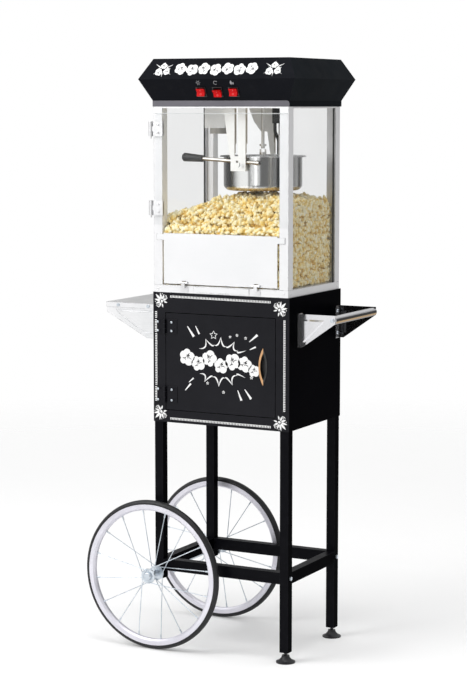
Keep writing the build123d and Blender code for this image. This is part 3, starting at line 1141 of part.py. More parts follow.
def rocker_outline(tilt):
    """A rocker seen along its pin, as (out, up) points: two faces that meet in a shallow valley."""
    half, root = ROCKER_W / 2 - ROCKER_INSET, ROCKER_ROOT
    crest, valley = ROCKER_PIN_DEPTH + ROCKER_CREST, ROCKER_PIN_DEPTH + ROCKER_VALLEY
    turned = radians(tilt * ROCKER_TILT)
    points = [(crest, half), (valley, 0.0), (crest, -half), (root, -half / 3), (root, half / 3)]
    return [(u * cos(turned) - v * sin(turned), u * sin(turned) + v * cos(turned)) for u, v in points]


# ---------------------------------------------------------------- popcorn
def build_heap():
    """One plain solid for the heap of popcorn: highest at the right, falling to the front and back."""
    across, between_posts = GLASS_IN_X - HEAP_INSET, CASE_X - POST_W - HEAP_INSET
    side_y = (CASE_Y0 + POST_D + HEAP_POST, CASE_Y1 - POST_D - HEAP_POST)
    length = (CASE_Y0 + HEAP_PANE, REAR_GLASS_Y - HEAP_BACK_INSET)
    over_width = [
        (-across, HEAP_Z0),
        (across, HEAP_Z0),
        (across, HEAP_RIGHT_Z),
        (HEAP_PEAK_X, HEAP_PEAK_Z),
        (-across, HEAP_LEFT_Z),
    ]
    over_length = [(length[0], HEAP_Z0), *HEAP_FRONT, *HEAP_REAR, (length[1], HEAP_Z0)]
    side_plane = Plane(origin=(-across, 0, 0), x_dir=(0, 1, 0), z_dir=(1, 0, 0))
    with BuildPart() as heap:
        block(both(across), side_y, (HEAP_Z0, KETTLE_Z0))
        block(both(between_posts), length, (HEAP_Z0, KETTLE_Z0))
        front_face = polygon(front_plane(0, length[0], 0), over_width)
        extrude(front_face, amount=length[0] - length[1], mode=Mode.INTERSECT)
        extrude(polygon(side_plane, over_length), amount=2 * across, mode=Mode.INTERSECT)
    save(heap, "popcorn_heap")


build_legs()
build_rails()
build_frame_bolts()
build_axle()
for wheel_name, wheel_side in (("front", -1), ("rear", 1)):
    build_wheel(wheel_name, wheel_side)
for foot_name, foot_y in (("foot_front", -LEG_Y), ("foot_rear", LEG_Y)):
    build_foot(foot_name, foot_y)
build_cabinet_body()
build_cabinet_door()
build_cabinet_hinges()
build_shelf()
build_handle()
build_bracket_bolts()
build_case_frame()
build_case_sheets()
build_crumb_drawer()
build_serving_panel()
build_glass_door()
build_kettle()
build_lids()
build_stirring()
build_hangers()
build_lamp()
build_electrical_fittings()
build_kettle_cord()
build_canopy()
build_switches()
build_heap()
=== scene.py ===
"""Looks of the popcorn cart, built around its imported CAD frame. Metres, +Z up, front towards -Y."""

import math

import bmesh
import bpy
import numpy as np
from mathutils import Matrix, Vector


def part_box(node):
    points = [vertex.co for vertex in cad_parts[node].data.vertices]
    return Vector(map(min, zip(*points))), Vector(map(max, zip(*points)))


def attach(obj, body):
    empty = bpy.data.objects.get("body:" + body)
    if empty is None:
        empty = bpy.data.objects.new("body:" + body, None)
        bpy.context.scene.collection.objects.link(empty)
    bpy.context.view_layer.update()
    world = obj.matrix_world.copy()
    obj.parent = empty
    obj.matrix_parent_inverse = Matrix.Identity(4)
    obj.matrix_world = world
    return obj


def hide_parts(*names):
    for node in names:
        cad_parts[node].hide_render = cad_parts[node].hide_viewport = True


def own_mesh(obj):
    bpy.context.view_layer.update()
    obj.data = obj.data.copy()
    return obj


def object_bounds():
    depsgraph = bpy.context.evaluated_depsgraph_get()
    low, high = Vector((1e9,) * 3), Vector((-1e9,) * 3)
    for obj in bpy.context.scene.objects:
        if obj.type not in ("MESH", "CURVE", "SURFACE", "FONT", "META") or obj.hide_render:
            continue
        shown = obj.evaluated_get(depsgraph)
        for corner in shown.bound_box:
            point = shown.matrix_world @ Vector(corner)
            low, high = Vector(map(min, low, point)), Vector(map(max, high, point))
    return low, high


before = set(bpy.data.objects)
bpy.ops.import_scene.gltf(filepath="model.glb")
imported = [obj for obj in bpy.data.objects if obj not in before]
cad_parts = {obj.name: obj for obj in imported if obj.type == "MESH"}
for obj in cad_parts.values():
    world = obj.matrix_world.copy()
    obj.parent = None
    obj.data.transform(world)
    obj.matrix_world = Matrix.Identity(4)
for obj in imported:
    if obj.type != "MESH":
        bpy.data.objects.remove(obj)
cad_low, cad_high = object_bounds()

MM = 0.001
SEED = 20
rng = np.random.default_rng(SEED)


# ---------------------------------------------------------------- stage
CAMERA_PLACE = (2.415, -4.6031, 1.4299)
CAMERA_LENS = 101.4
CAMERA_VIEW = 27.7, 7.06  # azimuth and elevation in degrees
FLOOR_R = 5.5
FLOOR_FADE = 1.0, 4.5  # where the floor starts to fade and where it is gone
LIGHTS = (  # azimuth, elevation, distance, size and power
    ("key", -38, 34, 3.2, 1.6, 42), ("top", 20, 78, 2.6, 1.4, 22), ("fill", 8, 7, 3.4, 1.4, 8),
)
STUDIO = (  # brightness all round: degrees from the front towards the handle, and level
    (-180, 0.50), (-125, 0.42), (-85, 0.55), (-62, 0.90), (-20, 0.94), (-8, 0.55),
    (18, 0.32), (50, 0.38), (90, 0.62), (130, 0.48), (180, 0.50),
)
OVERHEAD, OVERHEAD_FROM = 1.0, (0.35, 0.75)  # the level above, and how high it starts and is reached


def direction(azimuth, elevation):
    """Unit vector from the cart towards a point seen at that azimuth and elevation, in degrees."""
    a, e = math.radians(azimuth), math.radians(elevation)
    return Vector((math.sin(a) * math.cos(e), -math.cos(a) * math.cos(e), math.sin(e)))


def place_on_stage(name, data, location, towards):
    """A camera or a light that looks along a direction."""
    made = bpy.data.objects.new(name, data)
    made.location = location
    made.rotation_euler = towards.to_track_quat("-Z", "Y").to_euler()
    bpy.context.scene.collection.objects.link(made)
    return made


def add_camera():
    """The photograph's view: a little to the right of the front and a little above."""
    data = bpy.data.cameras.new("camera")
    data.sensor_fit = "VERTICAL"
    data.sensor_height = 36.0
    data.lens = CAMERA_LENS
    data.clip_end = 200.0
    bpy.context.scene.camera = place_on_stage("camera", data, CAMERA_PLACE, -direction(*CAMERA_VIEW))


def add_floor():
    """A wide pale floor that fades into the white round it."""
    mesh = bpy.data.meshes.new("floor")
    shape = bmesh.new()
    bmesh.ops.create_circle(shape, cap_ends=True, radius=FLOOR_R, segments=96)
    shape.to_mesh(mesh)
    shape.free()
    floor = bpy.data.objects.new("floor", mesh)
    bpy.context.scene.collection.objects.link(floor)
    look = Finish("floor_pale")
    reach = look.node("ShaderNodeVectorMath", {"operation": "LENGTH"}, {0: look.place}).outputs["Value"]
    look.shade(
        colour=look.mix(look.noise(0.7), 0.93, 0.95),
        roughness=look.level(look.noise(3.0), 0.3, 0.7, 0.75, 0.9),
        alpha=look.level(reach, *FLOOR_FADE, 1.0, 0.0),
    )
    mesh.materials.append(look.material)


def add_light(name, azimuth, elevation, distance, size, power):
    """A square soft box aimed at the middle of the cart."""
    data = bpy.data.lights.new(name, "AREA")
    data.size, data.energy = size, power
    way = direction(azimuth, elevation)
    place_on_stage(name, data, (cad_low + cad_high) / 2 + distance * way, -way)


def add_studio():
    """White to the eye; soft boxes and darker gaps for what the metal mirrors."""
    world = bpy.data.worlds.new("studio")
    bpy.context.scene.world = world
    sky = Nodes(world)
    sky.tree.nodes.clear()
    split = sky.split(sky.node("ShaderNodeTexCoord").outputs["Generated"])
    around = sky.maths("ARCTAN2", split["X"], sky.times(split["Y"], -1.0))
    round_about = sky.round_ramp(around, STUDIO, "EASE")
    light = sky.mix(sky.level(split["Z"], *OVERHEAD_FROM), round_about, OVERHEAD)
    lit = sky.node("ShaderNodeBackground", None, {0: light}).outputs[0]
    plain = sky.node("ShaderNodeBackground", None, {0: 1.0}).outputs[0]
    eye = sky.node("ShaderNodeLightPath").outputs["Is Camera Ray"]
    shown = sky.node("ShaderNodeMixShader", None, {0: eye, 1: lit, 2: plain}).outputs[0]
    sky.node("ShaderNodeOutputWorld", None, {"Surface": shown})


# ---------------------------------------------------------------- node trees
class Nodes:
    """A node tree while it is put together. A colour is a triple or one level of grey."""

    def __init__(self, owner):
        owner.use_nodes = True
        self.tree = owner.node_tree

    def feed(self, socket, value):
        """Links another node's socket, or sets a number or a colour."""
        if isinstance(value, bpy.types.NodeSocket):
            self.tree.links.new(value, socket)
        elif socket.type == "RGBA":
            socket.default_value = (*value, 1.0) if isinstance(value, tuple) else (value, value, value, 1.0)
        else:
            socket.default_value = value

    def node(self, kind, settings=None, inputs=None):
        made = self.tree.nodes.new(kind)
        for key, value in (settings or {}).items():
            setattr(made, key, value)
        for key, value in (inputs or {}).items():
            self.feed(made.inputs[key], value)
        return made

    def level(self, value, low, high, to_low=0.0, to_high=1.0):
        """value between low and high, carried over to between to_low and to_high."""
        inputs = {"Value": value, "From Min": low, "From Max": high, "To Min": to_low, "To Max": to_high}
        return self.node("ShaderNodeMapRange", None, inputs).outputs["Result"]

    def maths(self, operation, first, second=0.0):
        return self.node("ShaderNodeMath", {"operation": operation}, {0: first, 1: second}).outputs[0]

    def times(self, first, *others):
        for other in others:
            first = self.maths("MULTIPLY", first, other)
        return first

    def plus(self, first, second):
        return self.maths("ADD", first, second)

    def mix(self, share, first, second):
        """The first colour where share is 0 and the second where it is 1."""
        settings, inputs = {"data_type": "RGBA"}, {0: share, 6: first, 7: second}
        return self.node("ShaderNodeMix", settings, inputs).outputs[2]

    def split(self, vector):
        return self.node("ShaderNodeSeparateXYZ", None, {0: vector}).outputs

    def ramp(self, value, stops, interpolation="LINEAR"):
        """Colours between stops of (position, colour)."""
        made = self.node("ShaderNodeValToRGB", None, {0: value})
        made.color_ramp.interpolation = interpolation
        elements = made.color_ramp.elements
        while len(elements) < len(stops):
            elements.new(0.5)
        for element, (position, colour) in zip(elements, stops):
            element.position, element.color = position, (*colour, 1.0)
        return made.outputs[0]

    def round_ramp(self, angle, stops, interpolation="LINEAR", blue=1.0):
        """Greys all round, from an angle in radians and stops of (degrees, level)."""
        greys = [((degrees + 180) / 360, (level, level, level * blue)) for degrees, level in stops]
        return self.ramp(self.level(angle, -math.pi, math.pi), greys, interpolation)


SHADER_INPUTS = {
    "colour": "Base Color", "roughness": "Roughness", "metal": "Metallic", "normal": "Normal",
    "specular": "Specular IOR Level", "coat": "Coat Weight", "alpha": "Alpha",
}


class Finish(Nodes):
    """A procedural material for one slot of the record."""

    def __init__(self, slot):
        self.slot, self.material = slot, bpy.data.materials.new(slot)
        super().__init__(self.material)
        self.surface = self.tree.nodes["Principled BSDF"]
        coordinates = self.node("ShaderNodeTexCoord").outputs
        self.place, self.outward = coordinates["Object"], coordinates["Normal"]

    def noise(self, scale, detail=3.0, stretch=None):
        """Cloudy noise with scale cells to a metre, drawn out along the axes if stretch is given."""
        place = self.place
        if stretch:
            place = self.node("ShaderNodeMapping", None, {"Vector": place, "Scale": stretch}).outputs[0]
        inputs = {"Vector": place, "Scale": scale, "Detail": detail, "Roughness": 0.55}
        return self.node("ShaderNodeTexNoise", None, inputs).outputs[0]

    def past(self, axis, low, high, to_low=0.0, to_high=1.0):
        """The same as level, for the position along X, Y or Z in metres."""
        return self.level(self.split(self.place)[axis], low, high, to_low, to_high)

    def facing(self, axis, low, high, to_low=0.0, to_high=1.0):
        """The same as level, for how much the surface faces along an axis, either way."""
        facing = self.maths("ABSOLUTE", self.split(self.outward)[axis])
        return self.level(facing, low, high, to_low, to_high)

    def edges(self, radius):
        """1 on the sharp edges of the piece and 0 on its flats."""
        rounded = self.node("ShaderNodeBevel", {"samples": 4}, {"Radius": radius}).outputs[0]
        flat = self.node("ShaderNodeNewGeometry").outputs["Normal"]
        dot = self.node("ShaderNodeVectorMath", {"operation": "DOT_PRODUCT"}, {0: rounded, 1: flat})
        return self.level(dot.outputs["Value"], 0.99, 0.80)

    def bump(self, height, distance, strength=1.0):
        """Relief from a height, at most a distance in millimetres deep."""
        inputs = {"Strength": strength, "Distance": distance * MM, "Height": height}
        return self.node("ShaderNodeBump", None, inputs).outputs[0]

    def shade(self, **values):
        """Sets the shader's own inputs: plain numbers on its sockets, the rest linked."""
        for key, value in values.items():
            self.feed(self.surface.inputs[SHADER_INPUTS[key]], value)

    def lay(self, share, colour):
        """Shows another colour where share is 1, over what is there."""
        below = self.surface.inputs["Base Color"].links[0].from_socket
        self.shade(colour=self.mix(share, below, colour))


# ---------------------------------------------------------------- materials
def coated(
    slot, colour, tint, rough, metal, cloud, grain, relief, specular=0.5, stretch=None, edge_wear_and_light=None, dust=None,
):
    """A finish with clouding in its colour, uneven gloss, fine relief, and edges in their own colour: edge
    wear, with painted highlight where that colour is lighter and painted shade where it is darker.

    cloud and grain are noise scales, relief is in millimetres, stretch draws the grain out into
    brush marks, and edge_wear_and_light is the colour of the edges and how wide they show, in millimetres.
    """
    look = Finish(slot)
    shown = look.mix(look.level(look.noise(cloud, 4.0), 0.35, 0.68), colour, tint)
    fine = look.noise(grain, 2.0, stretch)
    if stretch:
        shown = look.mix(look.level(fine, 0.3, 0.7, 0.0, 0.55), shown, tint)
    gloss = look.level(look.noise(cloud * 4, 4.0), 0.3, 0.7, *rough)
    if dust:
        lie = look.level(look.noise(cloud * 9, 5.0), 0.5, 0.8, 0.0, 0.5)
        shown = look.mix(lie, shown, dust)
    # Edges: wear, with painted highlight where their colour is lighter and painted shade where it is darker.
    if edge_wear_and_light:
        edge_wear_and_light_share = look.times(look.edges(edge_wear_and_light[1] * MM), look.level(look.noise(60.0), 0.35, 0.6))
        shown = look.mix(edge_wear_and_light_share, shown, edge_wear_and_light[0])
    look.shade(
        colour=shown, roughness=gloss, metal=metal, specular=specular, normal=look.bump(fine, relief)
    )
    return look


BRUSH_X, BRUSH_Z = (0.02, 1.0, 1.0), (1.0, 1.0, 0.02)
# slot, two colours, roughness from and to, metal, cloud, grain and relief as coated takes them, and the rest
# Edge colours lighter than a row's finish are painted highlights along its edges, with edge wear.
PLAIN = (
    ("ink_white", 0.80, (0.90, 0.90, 0.89), (0.35, 0.5), 0.0, 30.0, 1500.0, 0.01, {"edge_wear_and_light": (0.62, 0.2)}),
    ("ink_dark", (0.010, 0.010, 0.012), (0.018, 0.018, 0.022), (0.35, 0.5), 0.0, 30.0, 1500.0, 0.01,
     {"specular": 0.1}),
    ("ink_grey", (0.26, 0.26, 0.27), (0.34, 0.34, 0.35), (0.35, 0.5), 0.0, 30.0, 1500.0, 0.01, {}),
    ("mark_pink", (0.70, 0.10, 0.10), (0.80, 0.18, 0.17), (0.3, 0.4), 0.0, 50.0, 1500.0, 0.01,
     {"specular": 0.1}),
    ("zinc", (0.50, 0.55, 0.60), (0.72, 0.77, 0.82), (0.29, 0.38), 1.0, 30.0, 700.0, 0.02,
     {"edge_wear_and_light": ((0.85, 0.87, 0.90), 0.6)}),
    ("rim_silver", (0.66, 0.65, 0.71), (0.78, 0.77, 0.83), (0.34, 0.48), 0.75, 12.0, 900.0, 0.02,
     {"edge_wear_and_light": ((0.88, 0.88, 0.92), 0.8)}),
    ("tyre_rubber", (0.0075, 0.0075, 0.0085), (0.016, 0.016, 0.018), (0.34, 0.52), 0.0, 9.0, 600.0, 0.06,
     {"specular": 0.35, "dust": 0.03}),
    ("foot_black", (0.008, 0.008, 0.010), (0.016, 0.016, 0.018), (0.30, 0.45), 0.0, 20.0, 1200.0, 0.03,
     {"specular": 0.35, "edge_wear_and_light": ((0.06, 0.06, 0.065), 0.8)}),
    # shelf_steel: its near-black edge colour is painted shade along the shelf's edges and bends.
    ("shelf_steel", (0.80, 0.81, 0.82), (0.90, 0.90, 0.91), (0.29, 0.36), 0.95, 6.0, 700.0, 0.012,
     {"stretch": BRUSH_X, "edge_wear_and_light": ((0.04, 0.04, 0.045), 2.6)}),
    ("floor_steel", (0.60, 0.59, 0.56), (0.76, 0.75, 0.73), (0.29, 0.42), 1.0, 12.0, 500.0, 0.02,
     {"stretch": BRUSH_X}),
    ("seal_black", 0.010, 0.020, (0.55, 0.70), 0.0, 15.0, 1500.0, 0.04, {}),
    # panel_steel: its near-black edge colour is painted shade, dark outlines along the panel's edges.
    ("panel_steel", (0.83, 0.84, 0.85), (0.87, 0.87, 0.88), (0.29, 0.34), 0.6, 4.0, 900.0, 0.003,
     {"stretch": BRUSH_X, "edge_wear_and_light": (0.05, 2.4)}),
    ("hinge_steel", (0.74, 0.74, 0.75), (0.88, 0.88, 0.89), (0.29, 0.36), 1.0, 25.0, 900.0, 0.01,
     {"edge_wear_and_light": ((0.95, 0.95, 0.96), 0.6)}),
    ("motor_grey", (0.30, 0.31, 0.32), (0.40, 0.41, 0.42), (0.40, 0.55), 0.6, 20.0, 900.0, 0.03,
     {"edge_wear_and_light": (0.6, 0.8)}),
    ("cord_black", (0.010, 0.010, 0.011), (0.020, 0.020, 0.022), (0.38, 0.55), 0.0, 40.0, 1800.0, 0.04, {}),
    ("fitting_black", (0.012, 0.012, 0.013), (0.026, 0.026, 0.028), (0.35, 0.5), 0.0, 30.0, 1400.0, 0.03,
     {"edge_wear_and_light": ((0.07, 0.07, 0.075), 0.6)}),
    # skirt_grey: the skirt's front plate grey is partly its own paint and partly painted light on that lit
    # front face.
    ("skirt_grey", (0.105, 0.100, 0.118), (0.135, 0.130, 0.148), (0.30, 0.42), 0.30, 6.0, 900.0, 0.01,
     {"stretch": BRUSH_X, "edge_wear_and_light": ((0.40, 0.40, 0.42), 0.7)}),
    ("bezel_black", 0.010, (0.020, 0.018, 0.018), (0.28, 0.4), 0.0, 40.0, 1600.0, 0.02,
     {"edge_wear_and_light": (0.05, 0.5)}),
    ("rocker_red", (0.50, 0.0015, 0.003), (0.62, 0.004, 0.006), (0.29, 0.36), 0.0, 50.0, 1200.0, 0.01,
     {"specular": 0.10, "edge_wear_and_light": ((0.85, 0.06, 0.04), 0.5)}),
    ("lid_black", (0.045, 0.045, 0.048), 0.10, (0.29, 0.40), 0.85, 18.0, 900.0, 0.01,
     {"edge_wear_and_light": ((0.35, 0.34, 0.32), 0.7)}),
    ("grip_black", (0.030, 0.030, 0.031), (0.045, 0.045, 0.046), (0.36, 0.50), 0.0, 30.0, 1600.0, 0.03,
     {"specular": 0.35, "edge_wear_and_light": (0.11, 0.8)}),
)


def coat_finish():
    """Black powder coat: deepest on the stand, a little blue on the canopy, and darker by painted shade on
    the faces that look along X, the cabinet's sides among them.
    """
    look = Finish("black_coat")
    cloud = look.level(look.noise(5.0, 4.0), 0.35, 0.68)
    # Painted shade: faces that look along X get a darker, less glossy copy of the coat.
    sides = look.facing("X", 0.55, 0.9)
    skirt_z = CANOPY_LEVELS[0][1]
    canopy = look.past("Z", skirt_z - 60 * MM, skirt_z - 30 * MM)
    stand = look.past("Z", CABINET[0].z - 2 * MM, CABINET[0].z + 2 * MM, 1.0, 0.0)
    shown = look.mix(cloud, (0.0065, 0.0066, 0.0090), (0.0095, 0.0096, 0.0125))
    shown = look.mix(stand, shown, (0.0030, 0.0030, 0.0044))
    shown = look.mix(canopy, shown, look.mix(cloud, (0.0022, 0.0027, 0.0048), (0.0038, 0.0045, 0.0074)))
    # deep: the darker painted-shade colour for those side faces, bluer on the canopy.
    deep = look.mix(cloud, (0.0006, 0.0006, 0.0011), (0.0014, 0.0013, 0.0022))
    deep = look.mix(canopy, deep, look.mix(cloud, (0.0004, 0.0022, 0.0044), (0.0008, 0.0034, 0.0064)))
    shown = look.mix(sides, shown, deep)
    dust = look.level(look.noise(45.0, 5.0), 0.5, 0.8, 0.0, 0.3)
    # Dust, its colour too darkened by painted shade on the side faces.
    shown = look.mix(dust, shown, look.mix(sides, (0.011, 0.011, 0.014), (0.0022, 0.0022, 0.0032)))
    # Edge wear with painted highlights: lighter edges, broken up by noise.
    edge_wear_and_light_share = look.times(look.edges(0.9 * MM), look.level(look.noise(60.0), 0.35, 0.6, 0.0, 0.7))
    gloss = look.mix(stand, look.mix(canopy, 0.13, 0.06), 0.05)
    look.shade(
        colour=look.mix(edge_wear_and_light_share, shown, (0.045, 0.045, 0.052)),
        roughness=look.level(look.noise(20.0, 4.0), 0.3, 0.7, 0.30, 0.42),
        # Less specular on the side faces, part of the same painted shade.
        specular=look.mix(sides, gloss, look.mix(canopy, 0.003, 0.02)),
        normal=look.bump(look.noise(1500.0, 2.0), 0.02),
    )
    return look


CHROME_BANDS = (  # painted reflection: what the tube mirrors, from its underside at 0 to its top at 1
    (0.00, (0.02, 0.015, 0.01)), (0.14, (0.03, 0.02, 0.015)), (0.24, (0.50, 0.30, 0.12)),
    (0.36, (0.62, 0.42, 0.20)), (0.46, (0.02, 0.02, 0.02)), (0.66, (0.015, 0.015, 0.018)),
    (0.76, (0.60, 0.60, 0.62)), (0.90, (0.90, 0.90, 0.92)), (1.00, (0.92, 0.92, 0.94)),
)


def chrome_finish():
    """Chromed tube and plates: a painted reflection on the tube, dark below the light and amber low down, and
    painted shade inside the rear plate.
    """
    look = Finish("handle_chrome")
    cloud = look.level(look.noise(14.0, 4.0), 0.35, 0.68)
    low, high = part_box("handle_tube")
    on_tube = look.times(
        look.past("X", low.x - 2 * MM, low.x + 1 * MM), look.past("Y", low.y - 0.2 * MM, low.y + 0.4 * MM),
        look.past("Y", high.y - 0.4 * MM, high.y + 0.2 * MM, 1.0, 0.0),
    )
    wavy = look.plus(look.split(look.outward)["Z"], look.level(look.noise(30.0), 0.2, 0.8, -0.05, 0.05))
    # Painted shade: the rear plate's inner side is near black.
    back = look.past("Y", high.y - 8 * MM, high.y - 4 * MM, 0.0, 0.93)
    bright = look.mix(cloud, (0.74, 0.74, 0.76), (0.84, 0.84, 0.86))
    plates = look.mix(back, bright, (0.012, 0.012, 0.016))
    look.shade(
        # On the tube the colour is the painted reflection from CHROME_BANDS.
        colour=look.mix(on_tube, plates, look.ramp(look.level(wavy, -1.0, 1.0), CHROME_BANDS)),
        roughness=look.level(look.noise(56.0, 4.0), 0.3, 0.7, 0.08, 0.16), metal=0.9,
        normal=look.bump(look.noise(500.0, 2.0), 0.004),
    )
    return look


POT_BANDS = (  # painted reflection: degrees from the front towards the handle side, and how bright the wall is painted there
    (-180, 0.50), (-95, 0.40), (-54, 0.55), (-47, 0.40), (-39, 0.08), (-28, 0.04), (-21, 0.25),
    (-14, 0.75), (-8, 0.98), (4, 1.0), (6, 0.30), (9, 0.75), (13, 0.35), (17, 0.85), (20, 0.36),
    (34, 0.32), (37, 0.20), (40, 0.46), (46, 0.44), (48, 0.02), (54, 0.02), (62, 0.20), (76, 0.45),
    (86, 0.70), (92, 0.12), (97, 0.12), (103, 0.50), (180, 0.50),
)


def kettle_finish():
    """Polished steel with a painted reflection of a dark and light room in upright stripes, and heat-tanned
    at the bottom.
    """
    # The pale edge colour is painted highlight on rims and edges, with edge wear.
    look = coated("kettle_steel", (0.66, 0.66, 0.67), (0.78, 0.78, 0.79), (0.10, 0.18), 1.0, 14.0, 420.0,
                  0.004, edge_wear_and_light=(0.9, 0.8))
    low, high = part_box("kettle_pot")
    place = look.split(look.place)
    middle_x = ((low + high) / 2).x
    around = look.maths("ARCTAN2", look.maths("SUBTRACT", place["X"], middle_x), look.times(place["Y"], -1.0))
    wavy = look.plus(around, look.level(look.noise(9.0), 0.2, 0.8, -0.02, 0.02))
    painted_reflection = look.round_ramp(wavy, POT_BANDS, blue=0.99)
    wall = look.times(look.facing("Z", 0.35, 0.6, 1.0, 0.0),
                      look.past("Z", high.z - 5 * MM, high.z - 4.5 * MM, 1.0, 0.0))
    steel = look.surface.inputs["Base Color"].links[0].from_socket
    # The walls show the painted reflection over the steel's own colour.
    look.lay(wall, look.mix(0.06, painted_reflection, steel))
    height = look.plus(place["Z"], look.level(look.noise(40.0), 0.2, 0.8, -4 * MM, 4 * MM))
    look.lay(look.level(height, low.z + 2 * MM, low.z + 12 * MM, 0.85, 0.0), (0.42, 0.30, 0.16))
    return look


def case_finish():
    """Pale aluminium with darker edges of painted shade, and plain white inside the two front posts, a
    painted highlight.
    """
    metal = 0.55
    # The dark edge colour is painted shade along the edges.
    look = coated("case_alu", (0.82, 0.82, 0.83), (0.86, 0.86, 0.87), (0.29, 0.34), metal, 8.0, 800.0, 0.003,
                  stretch=BRUSH_Z, edge_wear_and_light=((0.16, 0.16, 0.17), 1.8))
    low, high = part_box("case_posts")
    within = look.times(look.past("X", low.x + 10 * MM, low.x + 30 * MM),
                        look.past("X", high.x - 10 * MM, high.x - 30 * MM))
    front = look.past("Y", low.y + 30 * MM, low.y + 31 * MM, 1.0, 0.0)
    raised = look.past("Z", low.z + 20 * MM, low.z + 21 * MM)
    # Painted highlight: inner faces of the front posts shown plain white and not metal.
    inside = look.times(look.maths("GREATER_THAN", within, 0.0), look.times(front, raised),
                        look.facing("X", 0.8, 0.9))
    look.lay(inside, (0.93, 0.93, 0.92))
    look.shade(metal=look.maths("SUBTRACT", metal, look.times(inside, metal)))
    return look


def stir_finish():
    """Bare steel rod, with a painted brown reflection along its underside and its left."""
    look = coated("stir_steel", (0.60, 0.58, 0.54), (0.80, 0.79, 0.76), (0.29, 0.36), 1.0, 25.0, 800.0, 0.02,
                  edge_wear_and_light=((0.85, 0.84, 0.82), 0.6))
    outward = look.split(look.outward)
    # Painted reflection: warm brown where the rod faces down and to the left.
    under, left = look.level(outward["Z"], -0.15, -0.45), look.level(outward["X"], 0.10, -0.35, 0.0, 0.8)
    look.lay(look.maths("MAXIMUM", under, left), (0.20, 0.14, 0.07))
    return look


def hanger_finish():
    """Off-white enamel on steel, with painted tan shade on its edge faces."""
    look = coated("hanger_steel", (0.90, 0.89, 0.86), (0.95, 0.945, 0.92), (0.29, 0.40), 0.0, 12.0, 900.0,
                  0.01)
    # Painted shade: faces that look along X, the arms' edges, turn tan.
    look.lay(look.facing("X", 0.6, 0.9, 0.0, 0.75), (0.42, 0.34, 0.22))
    return look


def lamp_finish():
    """Pale grey enamel, with a brown mouth."""
    look = coated("lamp_grey", (0.88, 0.88, 0.87), (0.93, 0.93, 0.92), (0.34, 0.46), 0.1, 16.0, 900.0, 0.01,
                  edge_wear_and_light=((0.85, 0.85, 0.84), 0.8))
    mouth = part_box("lamp_housing")[0].z + 15 * MM
    look.lay(look.past("Z", mouth - 1 * MM, mouth + 0.3 * MM, 0.9, 0.0), (0.34, 0.32, 0.29))
    return look


def bulb_finish():
    """Warm white bulb glass."""
    look = coated("bulb_glass", (0.90, 0.86, 0.74), (0.96, 0.93, 0.84), (0.10, 0.18), 0.0, 40.0, 600.0, 0.005)
    look.shade(coat=0.4)
    return look


def pull_finish():
    """Black moulded recess with a painted coppery highlight on the left of its front rim."""
    look = coated("pull_black", 0.006, 0.014, (0.35, 0.5), 0.0, 30.0, 1200.0, 0.02)
    low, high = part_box("door_pull")
    width = high.x - low.x
    copper_highlight = look.mix(look.noise(90.0), (0.52, 0.27, 0.12), (0.78, 0.48, 0.26))
    # Painted highlight: only the left part of the rim's front shows coppery metal.
    rim = look.times(look.past("Y", low.y + 0.6 * MM, low.y + 1.0 * MM, 1.0, 0.0),
                     look.past("X", low.x + 0.50 * width, low.x + 0.56 * width, 1.0, 0.0))
    look.lay(rim, copper_highlight)
    look.shade(metal=look.times(rim, 0.9))
    return look


def glass_finish():
    """Clear pane: it mirrors by its angle, with faint smears and a ground edge along the door's top."""
    look = Finish("clear_glass")
    smear = look.level(look.noise(9.0, 5.0), 0.45, 0.75)
    look.shade(
        colour=look.mix(smear, (0.88, 0.90, 0.90), (0.82, 0.84, 0.84)), metal=1.0,
        roughness=look.level(smear, 0.0, 1.0, 0.02, 0.09),
    )
    tint = look.mix(smear, (0.984, 0.986, 0.986), (0.972, 0.974, 0.974))
    tint = look.mix(look.facing("X", 0.6, 0.9), tint, 0.945)
    clear = look.node("ShaderNodeBsdfTransparent", None, {0: tint}).outputs[0]
    slant = look.node("ShaderNodeLayerWeight", None, {"Blend": 0.5}).outputs["Facing"]
    gloss = look.level(look.maths("POWER", slant, 5.0), 0.0, 1.0, 0.012, 0.8)
    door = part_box("door_glass")[1]
    ground = look.times(
        look.past("Z", door.z - 2.6 * MM, door.z - 2.2 * MM, 0.0, 0.45),
        look.past("Z", door.z + 0.2 * MM, door.z + 0.6 * MM, 1.0, 0.0),
        look.past("Y", door.y + 0.5 * MM, door.y + 1.0 * MM, 1.0, 0.0),
    )
    share = look.plus(look.plus(gloss, look.times(smear, 0.004)), ground)
    pane = look.node("ShaderNodeMixShader", None, {0: share, 1: clear, 2: look.surface.outputs[0]})
    look.feed(look.tree.nodes["Material Output"].inputs["Surface"], pane.outputs[0])
    return look


def popcorn_finish():
    """Cream puffs with buttery hollows that also carry painted shade; every kernel has its own tone."""
    look = Finish("popcorn")
    puff, tone = (
        look.node("ShaderNodeAttribute", {"attribute_name": name}).outputs["Fac"] for name in ("puff", "tone")
    )
    butter = look.mix(tone, (0.88, 0.63, 0.18), (0.93, 0.77, 0.36))
    cream = look.mix(tone, (0.95, 0.86, 0.52), (0.98, 0.95, 0.76))
    soft = look.level(look.noise(260.0, 4.0), 0.3, 0.7, -0.18, 0.18)
    swollen = look.plus(puff, soft)
    # Low puff gives the butter colour: the hollows' own yellow, deepened as painted shade.
    shown = look.mix(look.level(swollen, 0.25, 0.80), butter, cream)
    # Deepest clefts golden brown: hull bits together with painted shade.
    hull_and_painted_shade = look.level(swollen, 0.02, 0.22, 1.0, 0.0)
    look.shade(
        colour=look.mix(hull_and_painted_shade, shown, (0.66, 0.40, 0.08)), specular=0.35,
        roughness=look.level(soft, -0.18, 0.18, 0.45, 0.65),
        normal=look.bump(look.noise(700.0, 4.0), 0.25, 0.7),
    )
    return look


